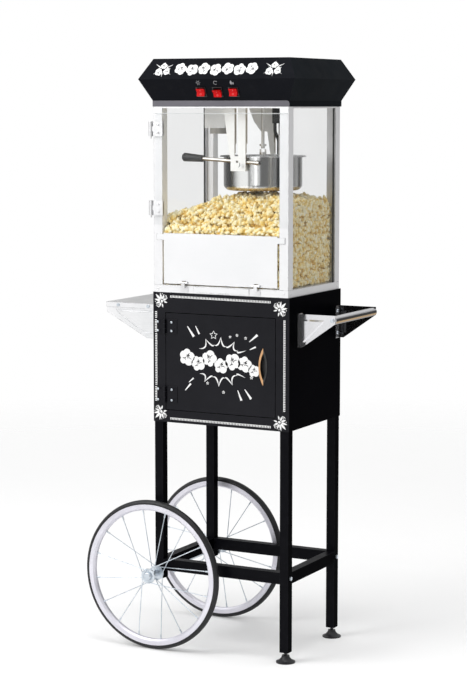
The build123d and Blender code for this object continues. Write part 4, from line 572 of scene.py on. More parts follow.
def make_finishes():
    """One material for each slot of the record."""
    made = [coated(*row, **others) for *row, others in PLAIN]
    made += [make() for make in (
        coat_finish, chrome_finish, case_finish, stir_finish, kettle_finish, hanger_finish, lamp_finish,
        bulb_finish, pull_finish, glass_finish, popcorn_finish,
    )]
    return {look.slot: look.material for look in made}


def dress_nodes(looks):
    """Gives every CAD node the finish of its own slot."""
    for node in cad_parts.values():
        for place in node.material_slots:
            place.material = looks[place.material.name.split(".")[0]]


# ---------------------------------------------------------------- mesh helpers
def piece(name, points, faces, body, material=None, smooth=True):
    """A new mesh piece in the row frame that rides on a body."""
    mesh = bpy.data.meshes.new(name)
    mesh.from_pydata([tuple(p) for p in points], [], [tuple(f) for f in faces])
    mesh.update()
    made = bpy.data.objects.new(name, mesh)
    bpy.context.scene.collection.objects.link(made)
    mesh.polygons.foreach_set("use_smooth", [smooth] * len(mesh.polygons))
    if material:
        mesh.materials.append(material)
    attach(made, body)
    return made


CABINET, DOOR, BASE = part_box("cabinet_shell"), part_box("cabinet_door"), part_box("case_base_frame")
CLAMPS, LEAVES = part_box("door_hinge_clamps"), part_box("cabinet_door_leaves")
CENTRE_X = (CABINET[0].x + CABINET[1].x) / 2  # the cabinet's and the case's own middle
# y and z of the canopy's front at the skirt's foot, at its widest and at its top
CANOPY_LEVELS = tuple((y * MM, z * MM) for y, z in ((-155.5, 1443), (-183, 1498), (-153.5, 1550)))
RIGHT, UP, FRONT = (1, 0, 0), (0, 0, 1), (0, -1, 0)
INK = 0.15  # millimetres that print stands proud
TIP = 0.12  # how wide a tapered band's ends are, as a share of its middle


# ---------------------------------------------------------------- printed decoration
class Print:
    """Flat shapes in millimetres on a plane, each a solid that stands a little proud of it."""

    def __init__(self, origin, across, up):
        self.origin, self.across, self.up = Vector(origin), Vector(across), Vector(up)
        self.out = self.across.cross(self.up).normalized()
        self.points, self.faces = [], []

    def spot(self, u, v, height):
        """The place in metres of a point on the plane, or proud of it by a height."""
        return self.origin + (u * self.across + v * self.up + height * self.out) * MM

    def slab(self, outline, low=0.0, high=INK):
        """A straight-sided solid on a closed outline."""
        area = sum(a[0] * b[1] - b[0] * a[1] for a, b in zip(outline, outline[1:] + outline[:1]))
        outline = outline if area > 0 else outline[::-1]
        start, n = len(self.points), len(outline)
        for height in (low, high):
            self.points += [self.spot(u, v, height) for u, v in outline]
        self.faces.append([start + n + i for i in range(n)])
        self.faces.append([start + i for i in reversed(range(n))])
        for i in range(n):
            j = (i + 1) % n
            self.faces.append([start + i, start + j, start + n + j, start + n + i])

    def band(self, line, width, closed=False, low=0.0, high=INK, taper=False):
        """A solid ribbon along a line; taper draws both its ends out to points."""
        n, start = len(line), len(self.points)
        for i, (u, v) in enumerate(line):
            before = line[i - 1] if closed or i else line[i]
            after = line[(i + 1) % n] if closed or i < n - 1 else line[i]
            du, dv = after[0] - before[0], after[1] - before[1]
            length = math.hypot(du, dv) or 1.0
            half = width / 2
            if taper:
                half *= TIP + (1 - TIP) * math.sin(math.pi * i / (n - 1))
            nu, nv = -dv / length * half, du / length * half
            for height in (low, high):
                self.points.append(self.spot(u + nu, v + nv, height))
                self.points.append(self.spot(u - nu, v - nv, height))
        for i in range(n if closed else n - 1):
            a, b = start + 4 * i, start + 4 * ((i + 1) % n)
            self.faces += [
                [a + 2, a + 3, b + 3, b + 2], [a, b, b + 1, a + 1],
                [a, a + 2, b + 2, b], [a + 1, b + 1, b + 3, a + 3],
            ]
        if not closed:
            end = start + 4 * (n - 1)
            self.faces += [[start, start + 1, start + 3, start + 2], [end, end + 2, end + 3, end + 1]]

    def finish(self, name, body, material):
        made = piece(name, self.points, self.faces, body, material, False)
        shape = bmesh.new()
        shape.from_mesh(made.data)
        many = [face for face in shape.faces if len(face.verts) > 4]
        bmesh.ops.triangulate(shape, faces=many, ngon_method="EAR_CLIP")
        bmesh.ops.recalc_face_normals(shape, faces=shape.faces)
        shape.to_mesh(made.data)
        shape.free()


def polar(u, v, radius, degrees):
    return u + radius * math.cos(math.radians(degrees)), v + radius * math.sin(math.radians(degrees))


def blossom(u, v, radius, start, dents=0.30):
    """Outline of a small flower: five uneven round lobes about a middle."""
    line, lobes, points = [], 5, 45
    for k in range(points):
        turn = k / points
        reach = radius * (1 - dents * (1 - abs(math.sin(math.pi * lobes * turn)) ** 0.7))
        reach *= 1 + 0.10 * math.sin(4 * math.pi * turn + start)
        line.append(polar(u, v, reach, start + 360 * turn))
    return line


def star(u, v, outer, inner, points, start=90):
    return [polar(u, v, (outer, inner)[k % 2], start + 180 * k / points) for k in range(2 * points)]


def wedge(u, v, degrees, length, base, tip):
    """A thin ray that widens outwards from a place."""
    end = polar(u, v, length, degrees)
    side = degrees + 90
    return [
        polar(u, v, base / 2, side), polar(u, v, base / 2, side + 180),
        polar(*end, tip / 2, side + 180), polar(*end, tip / 2, side),
    ]


def petal(u, v, degrees, length, width):
    """A leaf outline from its stalk end."""
    c, s = math.cos(math.radians(degrees)), math.sin(math.radians(degrees))
    line = []
    for side, shares in ((1, range(13)), (-1, range(11, 0, -1))):
        for k in shares:
            x, y = k / 12 * length, side * width / 2 * math.sin(math.pi * (k / 12) ** 0.75)
            line.append((u + x * c - y * s, v + x * s + y * c))
    return line


def arc(u, v, radius, first, last, steps=10):
    return [polar(u, v, radius, first + (last - first) * k / steps) for k in range(steps + 1)]


def palmette(drawing, u, v, outward):
    """A corner ornament: leaves fanned towards the corner, two scrolls and a few seeds."""
    for turn, length, width in ((0, 21, 6.5), (-32, 18, 5.5), (32, 18, 5.5), (-64, 15, 5), (64, 15, 5)):
        drawing.slab(petal(*polar(u, v, 5.0, outward + turn), outward + turn, length, width))
    for side in (-1, 1):
        root = outward + side * 104
        drawing.slab(petal(*polar(u, v, 4.0, root), root, 16, 5.5))
        drawing.slab(petal(*polar(u, v, 6.0, outward + side * 140), outward + side * 150, 11, 4))
        curl = polar(u, v, 15.0, outward + side * 84)
        drawing.band(arc(*curl, 4.6, outward + side * 30, outward + side * 250), 2.0, taper=True)
        drawing.slab(blossom(*curl, 1.5, 0))
        drawing.slab(blossom(*polar(u, v, 19.5, outward + side * 48), 1.3, 0))
    drawing.slab(blossom(u, v, 3.6, outward, 0.2))


def comb(drawing, start, end, side, proud=0.0):
    """A thin line with small teeth on one side of it, on a surface that stands proud."""
    du, dv = end[0] - start[0], end[1] - start[1]
    length = math.hypot(du, dv)
    du, dv = du / length, dv / length
    nu, nv = side * -dv, side * du
    count = round(length / COMB_PITCH)
    pitch = length / count

    def at(s, t):
        return start[0] + du * s + nu * t, start[1] + dv * s + nv * t

    line = [at(0, 0)]
    for k in range(count):
        first, last = (k + TOOTH[0]) * pitch, (k + TOOTH[1]) * pitch
        line += [at(first, TOOTH_FOOT), at(first, TOOTH_TOP), at(last, TOOTH_TOP), at(last, TOOTH_FOOT)]
    line.append(at(length, 0))
    drawing.slab(line, proud, proud + INK)


COMB_PITCH = 4.4
TOOTH, TOOTH_FOOT, TOOTH_TOP = (0.24, 0.76), 0.8, 5.6  # share of the pitch, and height in millimetres
# u and v of each corner and the way it points; both ends of each edge, the teeth's side and what it crosses
CORNERS = ((-172, 924, 135), (170, 917, 45), (-175, 633, 225), (171, 630, 315))
LEAF = 1.5  # thickness of the hinge plates the border crosses
EDGES = (
    ((-187, 702), (-187, 840), 1, 0.0), ((-187, 879), (-187, 898), 1, 0.0),
    ((-187, 660), (-187, 700), 1, LEAF), ((-187, 842), (-187, 877), 1, LEAF),
    ((182, 657), (182, 892), -1, 0.0), ((-148, 935), (146, 933), 1, 0.0), ((-149, 619), (147, 618), -1, 0.0),
)


def add_cabinet_print(ink):
    """The white border and corner ornaments on the cabinet's front."""
    drawing = Print((CENTRE_X, CABINET[0].y, 0), RIGHT, UP)
    for edge in EDGES:
        comb(drawing, *edge)
    for u, v, outward in CORNERS:
        palmette(drawing, u, v, outward)
    drawing.finish("cabinet_print", "frame", ink)


PUFFS = ((0, 0.56), (82, 0.44), (140, 0.50), (205, 0.40), (285, 0.53))  # turn and size of a kernel's lobes


def puffed(u, v, radius, start):
    """Outline of a popped kernel: the outside of lobes of several sizes."""
    lobes = [(polar(0, 0, radius * (1 - size), start + turn), radius * size) for turn, size in PUFFS]
    line, steps = [], 60
    for k in range(steps):
        du, dv = polar(0, 0, 1.0, 360 * k / steps)
        reach = radius * 0.40
        for (x, y), size in lobes:
            ahead = x * du + y * dv
            beside = size * size - (x * x + y * y - ahead * ahead)
            if beside > 0:
                reach = max(reach, ahead + math.sqrt(beside))
        line.append((u + du * reach, v + dv * reach))
    return line


def kernel_print(white, dark, u, v, radius, start):
    """A popped kernel: a lobed white shape with folds drawn in the ground colour."""
    white.slab(puffed(u, v, radius, start), 0.0, 2 * INK)
    for k, (turn, size) in enumerate(PUFFS):
        x, y = polar(u, v, radius * (1 - size), start + turn)
        inner = start + turn + (150, 205)[k % 2]
        line = arc(x, y, radius * size * 0.72, inner - 62, inner + 48, 7)
        dark.band(line, radius * 0.085, low=INK, high=3 * INK, taper=True)
    fold = petal(*polar(u, v, radius * 0.12, start + 40), start + 20, radius * 0.34, radius * 0.15)
    dark.slab(fold, INK, 3 * INK)


# the door's picture in millimetres: the burst's corners, the kernels' (u, v, radius, turn),
# the rays' (u, v, angle, length, base, tip) and the stars' (u, v, outer radius, inner radius)
DOOR_BURST = (
    (-61, 806), (-43, 832), (-17, 818), (2, 839), (17, 816), (42, 829), (52, 806), (75, 808), (84, 775),
    (73, 738), (50, 742), (36, 716), (14, 733), (-4, 710), (-22, 734), (-46, 720), (-60, 740), (-86, 772),
)
BURST_V, BURST_GAP, BURST_SAG = 774, 8, 0.16  # its middle, what it leaves open there, and how its sides bend
DOOR_KERNELS = (
    (-97, 781, 20.5, 10), (-64, 767, 18.5, 40), (-31, 782, 19.5, 75), (3, 764, 18.5, 20),
    (37, 777, 20.5, 55), (71, 772, 19.0, 5), (98, 757, 15.0, 30),
)
DOOR_RAYS = (
    (-96, 862, -54, 32, 2.5, 7), (-72, 864, -62, 23, 2, 5), (108, 850, 219, 30, 6.5, 2),
    (103, 819, 205, 19, 4.5, 1.8), (-103, 694, 48, 25, 2, 5), (-92, 716, 40, 18, 1.5, 4),
    (62, 678, 113, 28, 6, 2), (90, 684, 128, 30, 6.5, 2),
)
DOOR_STARS = (
    (-19, 843, 11, 5.4), (29, 841, 4.4, 2.1), (49, 846, 4.8, 2.3), (74, 840, 4.8, 2.3), (91, 739, 5.4, 2.6),
    (-37, 717, 4.8, 2.3), (10, 696, 5.0, 2.4),
)


def add_door_print(ink, ground):
    """The door's picture: a burst of popped kernels with rays and stars."""
    white, dark = (Print((CENTRE_X, DOOR[0].y, 0), RIGHT, UP) for _ in range(2))
    for (u0, v0), (u1, v1) in zip(DOOR_BURST, DOOR_BURST[1:] + DOOR_BURST[:1]):
        if min(abs(v0 - BURST_V), abs(v1 - BURST_V)) < BURST_GAP:
            continue
        line = []
        for t in [step / 12 for step in range(13)]:
            bend = 4 * t * (1 - t) * BURST_SAG
            u = u0 + (u1 - u0) * t - bend * (u0 + u1) / 2
            v = v0 + (v1 - v0) * t - bend * ((v0 + v1) / 2 - BURST_V)
            line.append((u, v))
        white.band(line, 3.8, taper=True)
    for u, v, radius, start in DOOR_KERNELS:
        kernel_print(white, dark, u, v, radius * 1.10, start)
    for ray in DOOR_RAYS:
        white.slab(wedge(*ray))
    for u, v, outer, inner in DOOR_STARS:
        if outer > 6:
            white.band(star(u, v, outer, inner, 5), 1.9, closed=True)
        else:
            white.slab(star(u, v, outer, inner, 5))
            dark.slab(star(u, v, outer * 0.42, inner * 0.42, 5), INK / 2, 2 * INK)
    white.finish("door_print", "cabinet_door", ink)
    dark.finish("door_print_folds", "cabinet_door", ground)


KERNEL_ROW = -106, 34.0, 27.5, 1.5, 17.0  # first u, spacing, v, how far every other one is lower, radius
BURST_U, BURST_RISE = (-157, 160), 28  # middles of the two bursts on the canopy
SIGN_RISE = 50.0  # how far the signs' middles are up the lower slope


def add_canopy_print(ink, ground, grey):
    """Kernels in a row and two bursts on the upper slope; three small signs over the switches."""
    skirt, wide, top = CANOPY_LEVELS
    upper_up = Vector((0, top[0] - wide[0], top[1] - wide[1])).normalized()
    white, dark = (Print((CENTRE_X, *wide), RIGHT, upper_up) for _ in range(2))
    first, spacing, middle, shift, radius = KERNEL_ROW
    for k in range(7):
        kernel_print(white, dark, first + spacing * k, middle + (shift, -shift)[k % 2], radius, 47 * k)
    for u in BURST_U:
        for k in range(18):
            turn, length = 20 * k + 8, (19, 27, 15)[k % 3]
            if abs(math.sin(math.radians(turn))) > 0.75:
                length *= 0.72
            white.slab(wedge(*polar(u, BURST_RISE, 10.0, turn), turn, length - 8, 3.2, 0.4))
        for turn, reach, radius in ((90, 10, 9.5), (215, 14, 11.5), (330, 13, 10.5)):
            kernel_print(white, dark, *polar(u, BURST_RISE, reach, turn), radius * 0.92, turn)
    white.finish("canopy_print", "frame", ink)
    dark.finish("canopy_print_folds", "frame", ground)
    lower_up = Vector((0, wide[0] - skirt[0], wide[1] - skirt[1])).normalized()
    signs = Print((CENTRE_X, *skirt), RIGHT, lower_up)
    lamp, turning = (-51, SIGN_RISE), (-2, SIGN_RISE)
    signs.band(arc(*lamp, 3.4, 0, 330, 14), 1.1)
    for ray in range(0, 360, 60):
        signs.band([polar(*lamp, 4.8, ray), polar(*lamp, 6.8, ray)], 0.9)
    signs.band(arc(*turning, 4.6, 40, 320, 14), 1.3)
    signs.slab(star(2.2, SIGN_RISE + 3.6, 2.2, 1.1, 3))
    for flame in ((43, SIGN_RISE - 5.5, 90, 12, 6), (48, SIGN_RISE - 5.5, 78, 8, 3.6)):
        signs.slab(petal(*flame))
    signs.finish("switch_signs", "frame", grey)


# ---------------------------------------------------------------- screws, nipples and marks
class Solids:
    """Small turned solids gathered into one piece."""

    def __init__(self):
        self.points, self.faces = [], []

    def turned(self, base, axis, profile, steps=24, recess=None):
        """Rings of (radius, height) about an axis; the last rings may take the recess's outline."""
        axis = Vector(axis).normalized()
        side = axis.orthogonal().normalized()
        other = axis.cross(side)
        start = len(self.points)
        for k, (radius, height) in enumerate(profile):
            for i in range(steps):
                a = 2 * math.pi * i / steps
                r = radius
                if recess and k >= len(profile) - 2:
                    r = radius * recess(a)
                spot = side * math.cos(a) * r + other * math.sin(a) * r + axis * height
                self.points.append(Vector(base) + spot * MM)
        for k in range(len(profile) - 1):
            for i in range(steps):
                a, b = start + k * steps + i, start + k * steps + (i + 1) % steps
                self.faces.append([a, b, b + steps, a + steps])
        self.faces.append([start + i for i in reversed(range(steps))])
        last = start + (len(profile) - 1) * steps
        self.faces.append([last + i for i in range(steps)])

    def finish(self, name, body, slot, material):
        piece(name, self.points, self.faces, body, material, False)


def cross(angle):
    """Outline of a cross recess, as a share of its arm's length."""
    fold = abs((angle + math.pi / 4) % (math.pi / 2) - math.pi / 4)
    arm = 0.30  # half an arm's width
    return 1 / math.cos(fold) if math.tan(fold) < arm else arm / math.sin(fold)


def screw(group, place, axis, radius):
    """A domed screw head with a cross recess."""
    dome = [(radius, 0.0), (radius, 0.35), (radius * 0.93, 0.8), (radius * 0.78, 1.15), (radius * 0.62, 1.35)]
    group.turned(place, axis, dome + [(radius * 0.55, 1.38), (radius * 0.50, 0.45)], 32, cross)


BASE_SCREW_Z, CLAMP_SCREWS_Z = 957, (1157, 1177, 1361, 1381)
HINGES_Z, HINGE_INSET = ((659, 701), (841, 878)), 7  # foot and top of each hinge, and its screws' inset


def add_screws(steel, zinc):
    """Screws in the case's base corners, the glass door's clamps and the cabinet door's hinges."""
    base, clamp, wall, leaf = (Solids() for _ in range(4))
    for u in (-182, 182):
        screw(base, (CENTRE_X + u * MM, BASE[0].y, BASE_SCREW_Z * MM), FRONT, 2.6)
    for v in (-142, 137):
        screw(base, (BASE[1].x, v * MM, BASE_SCREW_Z * MM), RIGHT, 2.6)
    for z in CLAMP_SCREWS_Z:
        screw(clamp, (CENTRE_X - 177 * MM, CLAMPS[0].y, z * MM), FRONT, 2.7)
    for foot, top in HINGES_Z:
        for z in (foot + HINGE_INSET, top - HINGE_INSET):
            for half, u in ((wall, -180), (leaf, -139)):
                screw(half, (CENTRE_X + u * MM, LEAVES[0].y, z * MM), FRONT, 3.1)
    base.finish("base_screws", "frame", "hinge_steel", steel)
    clamp.finish("clamp_screws", "glass_door", "hinge_steel", steel)
    wall.finish("hinge_screws_wall", "frame", "zinc", zinc)
    leaf.finish("hinge_screws_door", "cabinet_door", "zinc", zinc)


SPOKES, SPOKE_START, SPOKE_LEAN = 16, 8.7, 62.0  # how many, the first one's angle, and their lean at the hub
SPOKE_HUB_R, SPOKE_RIM_R, FLANGE_INSET = 16.4, 174, 1.5
NIPPLE = [(2.6, 0), (2.6, 2.5), (2.1, 3.5), (2.1, 11.0), (1.7, 12.5)]  # radius and height


def add_nipples(zinc):
    """The nuts that hold each spoke in its rim."""
    for name in ("front", "rear"):
        low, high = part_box("tyre_" + name)
        middle = (low + high) / 2
        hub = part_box("hub_" + name)
        group = Solids()
        flanges = hub[1].y - FLANGE_INSET * MM, hub[0].y + FLANGE_INSET * MM
        if name == "rear":
            flanges = flanges[::-1]

        def at(radius, angle, y):
            x, z = radius * MM * math.cos(angle), radius * MM * math.sin(angle)
            return Vector((middle.x + x, y, middle.z + z))

        for k in range(SPOKES):
            at_rim = math.radians(SPOKE_START + 360 * k / SPOKES)
            at_hub = at_rim + (1 if k % 4 < 2 else -1) * math.radians(SPOKE_LEAN)
            seat, foot = at(SPOKE_RIM_R, at_rim, middle.y), at(SPOKE_HUB_R, at_hub, flanges[k % 2])
            group.turned(seat, foot - seat, NIPPLE, 10)
        group.finish("spoke_nipples_" + name, "wheel_" + name, "zinc", zinc)


PIVOT_Z, STOP_PLACE = 1288, (27.5, 1281)


def add_pivot_marks(dark):
    """The dark ring and curved stop beside the kettle's pivot on the front arm."""
    drawing = Print((CENTRE_X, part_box("kettle_hangers")[0].y, 0), RIGHT, UP)
    drawing.band(arc(*STOP_PLACE, 9.5, -62, 34, 14), 1.6, taper=True)
    drawing.band(arc(29.5, PIVOT_Z, 2.6, 0, 360, 16)[:-1], 0.9, closed=True)
    drawing.finish("pivot_marks", "frame", dark)


ROCKERS = (("left", -47, -1), ("middle", 0, 1), ("right", 46, -1))  # place across, and which way it is tipped
ROCKER_MIDDLE_Z, PIN_DEPTH = 1465, 3.0  # the pin is below the canopy's slope
VALLEY, CREST, ROCKER_HALF = 8.0, 11.5, 9.8  # heights of the face over the pin, and half its length
ROCKER_TILT = 10.0
BAR = [(-0.7, 3.2), (0.7, 3.2), (0.7, 7.4), (-0.7, 7.4)]
MARK_FROM, MARK_TO = -0.1, 0.25


def add_rocker_marks(ink):
    """A bar on the upper half of each rocker and a ring on the lower, moulded a little proud."""
    skirt, wide, _ = CANOPY_LEVELS
    up = Vector((0, wide[0] - skirt[0], wide[1] - skirt[1])).normalized()
    out = Vector(RIGHT).cross(up)
    share = (ROCKER_MIDDLE_Z * MM - skirt[1]) / (wide[1] - skirt[1])
    slope = Vector((0, skirt[0] + share * (wide[0] - skirt[0]), ROCKER_MIDDLE_Z * MM))
    for name, u, tilt in ROCKERS:
        turn = math.radians(tilt * ROCKER_TILT)
        pin = slope + Vector((CENTRE_X + u * MM, 0, 0)) - out * PIN_DEPTH * MM

        def at(o, v):
            turned_o = o * math.cos(turn) - v * math.sin(turn)
            turned_v = o * math.sin(turn) + v * math.cos(turn)
            return pin + (out * turned_o - up * turned_v) * MM

        valley = at(VALLEY, 0)
        for half, label in ((-1, "bar"), (1, "ring")):
            way = (at(CREST, half * ROCKER_HALF) - valley).normalized()
            drawing = Print(valley, (-half, 0, 0), way)
            if label == "bar":
                drawing.slab(BAR, MARK_FROM, MARK_TO)
            else:
                drawing.band(arc(0, 5.2, 2.1, 0, 360, 16)[:-1], 0.9, True, MARK_FROM, MARK_TO)
            drawing.finish(f"rocker_{label}_{name}", "rocker_" + name, ink)


# ---------------------------------------------------------------- popcorn
HEAP_LOW, HEAP_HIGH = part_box("popcorn_heap")
KETTLE_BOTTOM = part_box("kettle_pot")[0].z
POST_GAP = 19 * MM  # how far the heap steps in beside the posts
FRONT_STEP, BACK_STEP = 25 * MM, 19.5 * MM
KERNEL_R, KERNEL_SHAPES = 12.4 * MM, 14
PITCH, WALL_ROW = 14.5 * MM, 12.6 * MM  # spacing of kernels in a row, and of rows at the glass
TOP_ROW = 0.87  # spacing of rows on top, as a share of PITCH
TOP_DEPTH, UNDER_DEPTH, CORE_DEPTH, CORE_INSET = 3 * MM, 13 * MM, 19 * MM, 14 * MM
PRESS_OUT, PRESS_OVER = 0.8 * MM, 5.0 * MM  # how far past the CAD heap, and how softly kernels press flat
# height of the heap's top, in millimetres, from left to right and from front to back
ACROSS = (
    (-187, 1140), (-132, 1157), (-88, 1168), (-45, 1188), (0, 1198), (100, 1198), (140, 1190), (187, 1183),
)
DEEP = ((-153, 1103), (-128, 1142), (-95, 1182), (-60, 1199), (70, 1199), (142, 1160))


def wobble(most, least=None):
    """A random length between two numbers of millimetres, or either side of none."""
    return rng.uniform(-most if least is None else least, most) * MM


def heap_outline():
    """Corners of the heap's plan, round the four posts."""
    x0, x1, y0, y1 = HEAP_LOW.x, HEAP_HIGH.x, HEAP_LOW.y, HEAP_HIGH.y
    a, b, c, d = x0 + POST_GAP, x1 - POST_GAP, y0 + FRONT_STEP, y1 - BACK_STEP
    return [
        (a, y0), (b, y0), (b, c), (x1, c), (x1, d), (b, d),
        (b, y1), (a, y1), (a, d), (x0, d), (x0, c), (a, c),
    ]


def heap_height(x, y):
    """Height of the popcorn's top at a place, in metres."""
    across = np.interp((x - CENTRE_X) / MM, *zip(*ACROSS))
    deep = np.interp(y / MM, *zip(*DEEP))
    ripple = 3 * math.sin(71 * x + 2) * math.cos(83 * y) + 2 * math.sin(190 * x) * math.sin(170 * y + 1)
    return (min(across, deep) + ripple) * MM


def directions(count):
    """Random unit vectors, one to a row."""
    ways = rng.normal(size=(count, 3))
    return ways / np.linalg.norm(ways, axis=1)[:, None]


def kernel_shapes(count):
    """Unit popped kernels as (points, puff), on one shared ball of faces."""
    ball = bmesh.new()
    bmesh.ops.create_icosphere(ball, subdivisions=3, radius=1.0)
    ways = np.array([v.co for v in ball.verts])
    faces = np.array([[v.index for v in f.verts] for f in ball.faces])
    ball.free()
    shapes = []
    for _ in range(count):
        lobes = directions(rng.integers(6, 9))
        sizes = rng.uniform(0.48, 0.74, len(lobes))
        tight = rng.uniform(4.5, 8.0, len(lobes))
        bulge = (sizes * np.exp(tight * (ways @ lobes.T - 1))).max(1)
        knob = np.exp(22 * (ways @ directions(22).T - 1)).max(1)
        reach = 0.38 + bulge + 0.12 * knob
        squashed = ways * reach[:, None] * rng.uniform(0.85, 1.15, 3)
        shapes.append((squashed - squashed.mean(0), (reach - reach.min()) / np.ptp(reach)))
    return shapes, faces


def random_turn():
    """A rotation matrix with no favoured direction."""
    q = rng.normal(size=4)
    w, x, y, z = q / np.linalg.norm(q)
    return np.array([
        [1 - 2 * (y * y + z * z), 2 * (x * y - z * w), 2 * (x * z + y * w)],
        [2 * (x * y + z * w), 1 - 2 * (x * x + z * z), 2 * (y * z - x * w)],
        [2 * (x * z - y * w), 2 * (y * z + x * w), 1 - 2 * (x * x + y * y)],
    ])


def top_places(depth, shift):
    """Kernel centres in one layer over the top of the heap, at a depth below its surface."""
    places = []
    rows = int((HEAP_HIGH.y - HEAP_LOW.y) / (PITCH * TOP_ROW))
    for row in range(rows):
        y = HEAP_LOW.y + 9 * MM + (row + shift) * PITCH * TOP_ROW
        inset = POST_GAP if y < HEAP_LOW.y + FRONT_STEP or y > HEAP_HIGH.y - BACK_STEP else 0.0
        x = HEAP_LOW.x + inset + 9 * MM + (row % 2 + shift) * PITCH / 2
        while x < HEAP_HIGH.x - inset - 8 * MM:
            px, py = x + wobble(3), y + wobble(3)
            places.append((px, py, heap_height(px, py) - depth + wobble(3, -4)))
            x += PITCH
    return places


def wall_places():
    """Kernel centres behind the glass, all the way round, as four lists: front, right, back and left."""
    sides = {"front": [], "right": [], "back": [], "left": []}
    corners = heap_outline()
    for i, (x0, y0) in enumerate(corners):
        x1, y1 = corners[(i + 1) % len(corners)]
        length = math.hypot(x1 - x0, y1 - y0)
        tx, ty = (x1 - x0) / length, (y1 - y0) / length
        if abs(tx) > 0.5:
            side = "front" if tx > 0 else "back"
        else:
            side = "right" if ty > 0 else "left"
        steps = max(1, round(length / PITCH))
        z, row = HEAP_LOW.z + 8 * MM, 0
        while z < HEAP_HIGH.z:
            for k in range(steps):
                s = (k + 0.5 + 0.5 * (row % 2)) * length / steps
                s = min(s, length) + wobble(2.5)
                deep = (9.0 + rng.uniform(0, 4.0)) * MM
                x, y = x0 + tx * s - ty * deep, y0 + ty * s + tx * deep
                if z < heap_height(x, y) - 7 * MM:
                    sides[side].append((x, y, z + wobble(2.5)))
            z += WALL_ROW
            row += 1
    return sides


def pressed(values, limit):
    """Values flattened more and more as they near a limit that none of them passes."""
    over = np.maximum(values - (limit - PRESS_OVER), 0.0)
    return np.minimum(values, limit - PRESS_OVER) + PRESS_OVER * (1 - np.exp(-over / PRESS_OVER))


def heap_piece(name, points, faces, material, puff, tone):
    """A piece with the two numbers at each point that the popcorn's finish reads."""
    made = piece(name, points, faces, "frame", material)
    for label, values in (("puff", puff), ("tone", tone)):
        layer = made.data.attributes.new(label, "FLOAT", "POINT")
        layer.data.foreach_set("value", values.astype(np.float32))
    return made


def pile(name, places, shapes, faces, material):
    """One piece of many kernels."""
    points, puffs, tones, all_faces = [], [], [], []
    for place in places:
        shape, puff = shapes[rng.integers(len(shapes))]
        size = KERNEL_R * rng.uniform(0.84, 1.12)
        body = (shape * size) @ random_turn().T + np.array(place)
        all_faces.append(faces + len(points) * len(shape))
        points.append(body)
        puffs.append(puff)
        tones.append(np.full(len(shape), rng.random() ** 1.2))
    points = np.concatenate(points)
    for axis in (0, 1):
        points[:, axis] = pressed(points[:, axis], HEAP_HIGH[axis] + PRESS_OUT)
        points[:, axis] = -pressed(-points[:, axis], PRESS_OUT - HEAP_LOW[axis])
    points[:, 2] = pressed(points[:, 2], KETTLE_BOTTOM - PRESS_OUT).clip(HEAP_LOW.z)
    faces = np.concatenate(all_faces)
    return heap_piece(name, points, faces, material, np.concatenate(puffs), np.concatenate(tones))


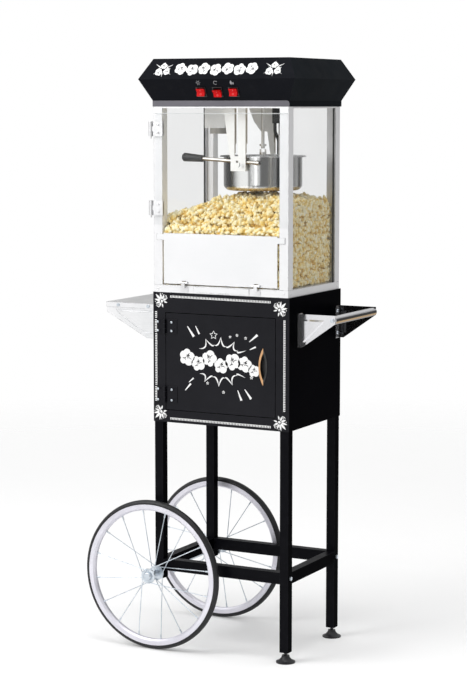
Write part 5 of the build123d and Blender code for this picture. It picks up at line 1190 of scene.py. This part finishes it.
def heap_core(material):
    """The lumpy mass that shows in the gaps between the outer kernels."""
    inset, pitch, levels = CORE_INSET, 6.0 * MM, 24
    x0, x1 = HEAP_LOW.x + POST_GAP, HEAP_HIGH.x - POST_GAP
    y0, y1 = HEAP_LOW.y + inset, HEAP_HIGH.y - inset
    columns, rows = int((x1 - x0) / pitch), int((y1 - y0) / pitch)
    points, faces, index = [], [], {}

    def edge_x(side, y):
        middle = HEAP_LOW.y + FRONT_STEP + inset < y < HEAP_HIGH.y - BACK_STEP - inset
        reach = POST_GAP - inset if middle else -inset
        return x0 - reach if side < 0 else x1 + reach

    for j in range(rows + 1):
        y = y0 + (y1 - y0) * j / rows
        low, high = edge_x(-1, y), edge_x(1, y)
        for i in range(columns + 1):
            x = low + (high - low) * i / columns
            index["top", i, j] = len(points)
            points.append((x, y, heap_height(x, y) - CORE_DEPTH + wobble(2)))
    rim = [(i, 0) for i in range(columns)] + [(columns, j) for j in range(rows)]
    rim += [(i, rows) for i in range(columns, 0, -1)] + [(0, j) for j in range(rows, 0, -1)]
    ring = {}
    for place, (i, j) in enumerate(rim):
        x, y, top = points[index["top", i, j]]
        ring[place, 0] = index["top", i, j]
        for level in range(1, levels + 1):
            ring[place, level] = len(points)
            z = top + (HEAP_LOW.z - top) * level / levels
            swell = wobble(1.5) if level < levels else 0.0
            points.append((x + swell, y + swell, z))
    for j in range(rows):
        for i in range(columns):
            faces.append([index["top", a, b] for a, b in ((i, j), (i + 1, j), (i + 1, j + 1), (i, j + 1))])
    for place in range(len(rim)):
        after = (place + 1) % len(rim)
        for level in range(levels):
            below = level + 1
            faces.append([ring[place, level], ring[place, below], ring[after, below], ring[after, level]])
    faces.append([ring[place, levels] for place in range(len(rim))][::-1])
    # Low puff shows the core in the dark hollow colour: painted shade deep in the gaps between kernels.
    puff, tone = (rng.uniform(low, high, len(points)) for low, high in ((0.1, 0.35), (0.0, 0.5)))
    return heap_piece("popcorn_core", points, faces, material, puff, tone)


def add_popcorn(material):
    """The heap: kernels in two layers on top and one at the glass, over a lumpy core.

    It is pressed down so that it stays below the kettle's bottom.
    """
    shapes, faces = kernel_shapes(KERNEL_SHAPES)
    made = [heap_core(material)]
    made.append(pile("popcorn_top", top_places(TOP_DEPTH, 0.0), shapes, faces, material))
    made.append(pile("popcorn_under", top_places(UNDER_DEPTH, 0.5), shapes, faces, material))
    for side, places in wall_places().items():
        made.append(pile("popcorn_" + side, places, shapes, faces, material))
    for part in made:
        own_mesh(part)
    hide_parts("popcorn_heap")


# ---------------------------------------------------------------- everything in order
add_camera()
add_studio()
add_floor()
for light in LIGHTS:
    add_light(*light)
looks = make_finishes()
dress_nodes(looks)
add_cabinet_print(looks["ink_white"])
add_door_print(looks["ink_white"], looks["ink_dark"])
add_canopy_print(looks["ink_white"], looks["ink_dark"], looks["ink_grey"])
add_screws(looks["hinge_steel"], looks["zinc"])
add_nipples(looks["zinc"])
add_pivot_marks(looks["ink_dark"])
add_rocker_marks(looks["mark_pink"])
add_popcorn(looks["popcorn"])
bpy.context.scene.view_settings.view_transform = "Standard"
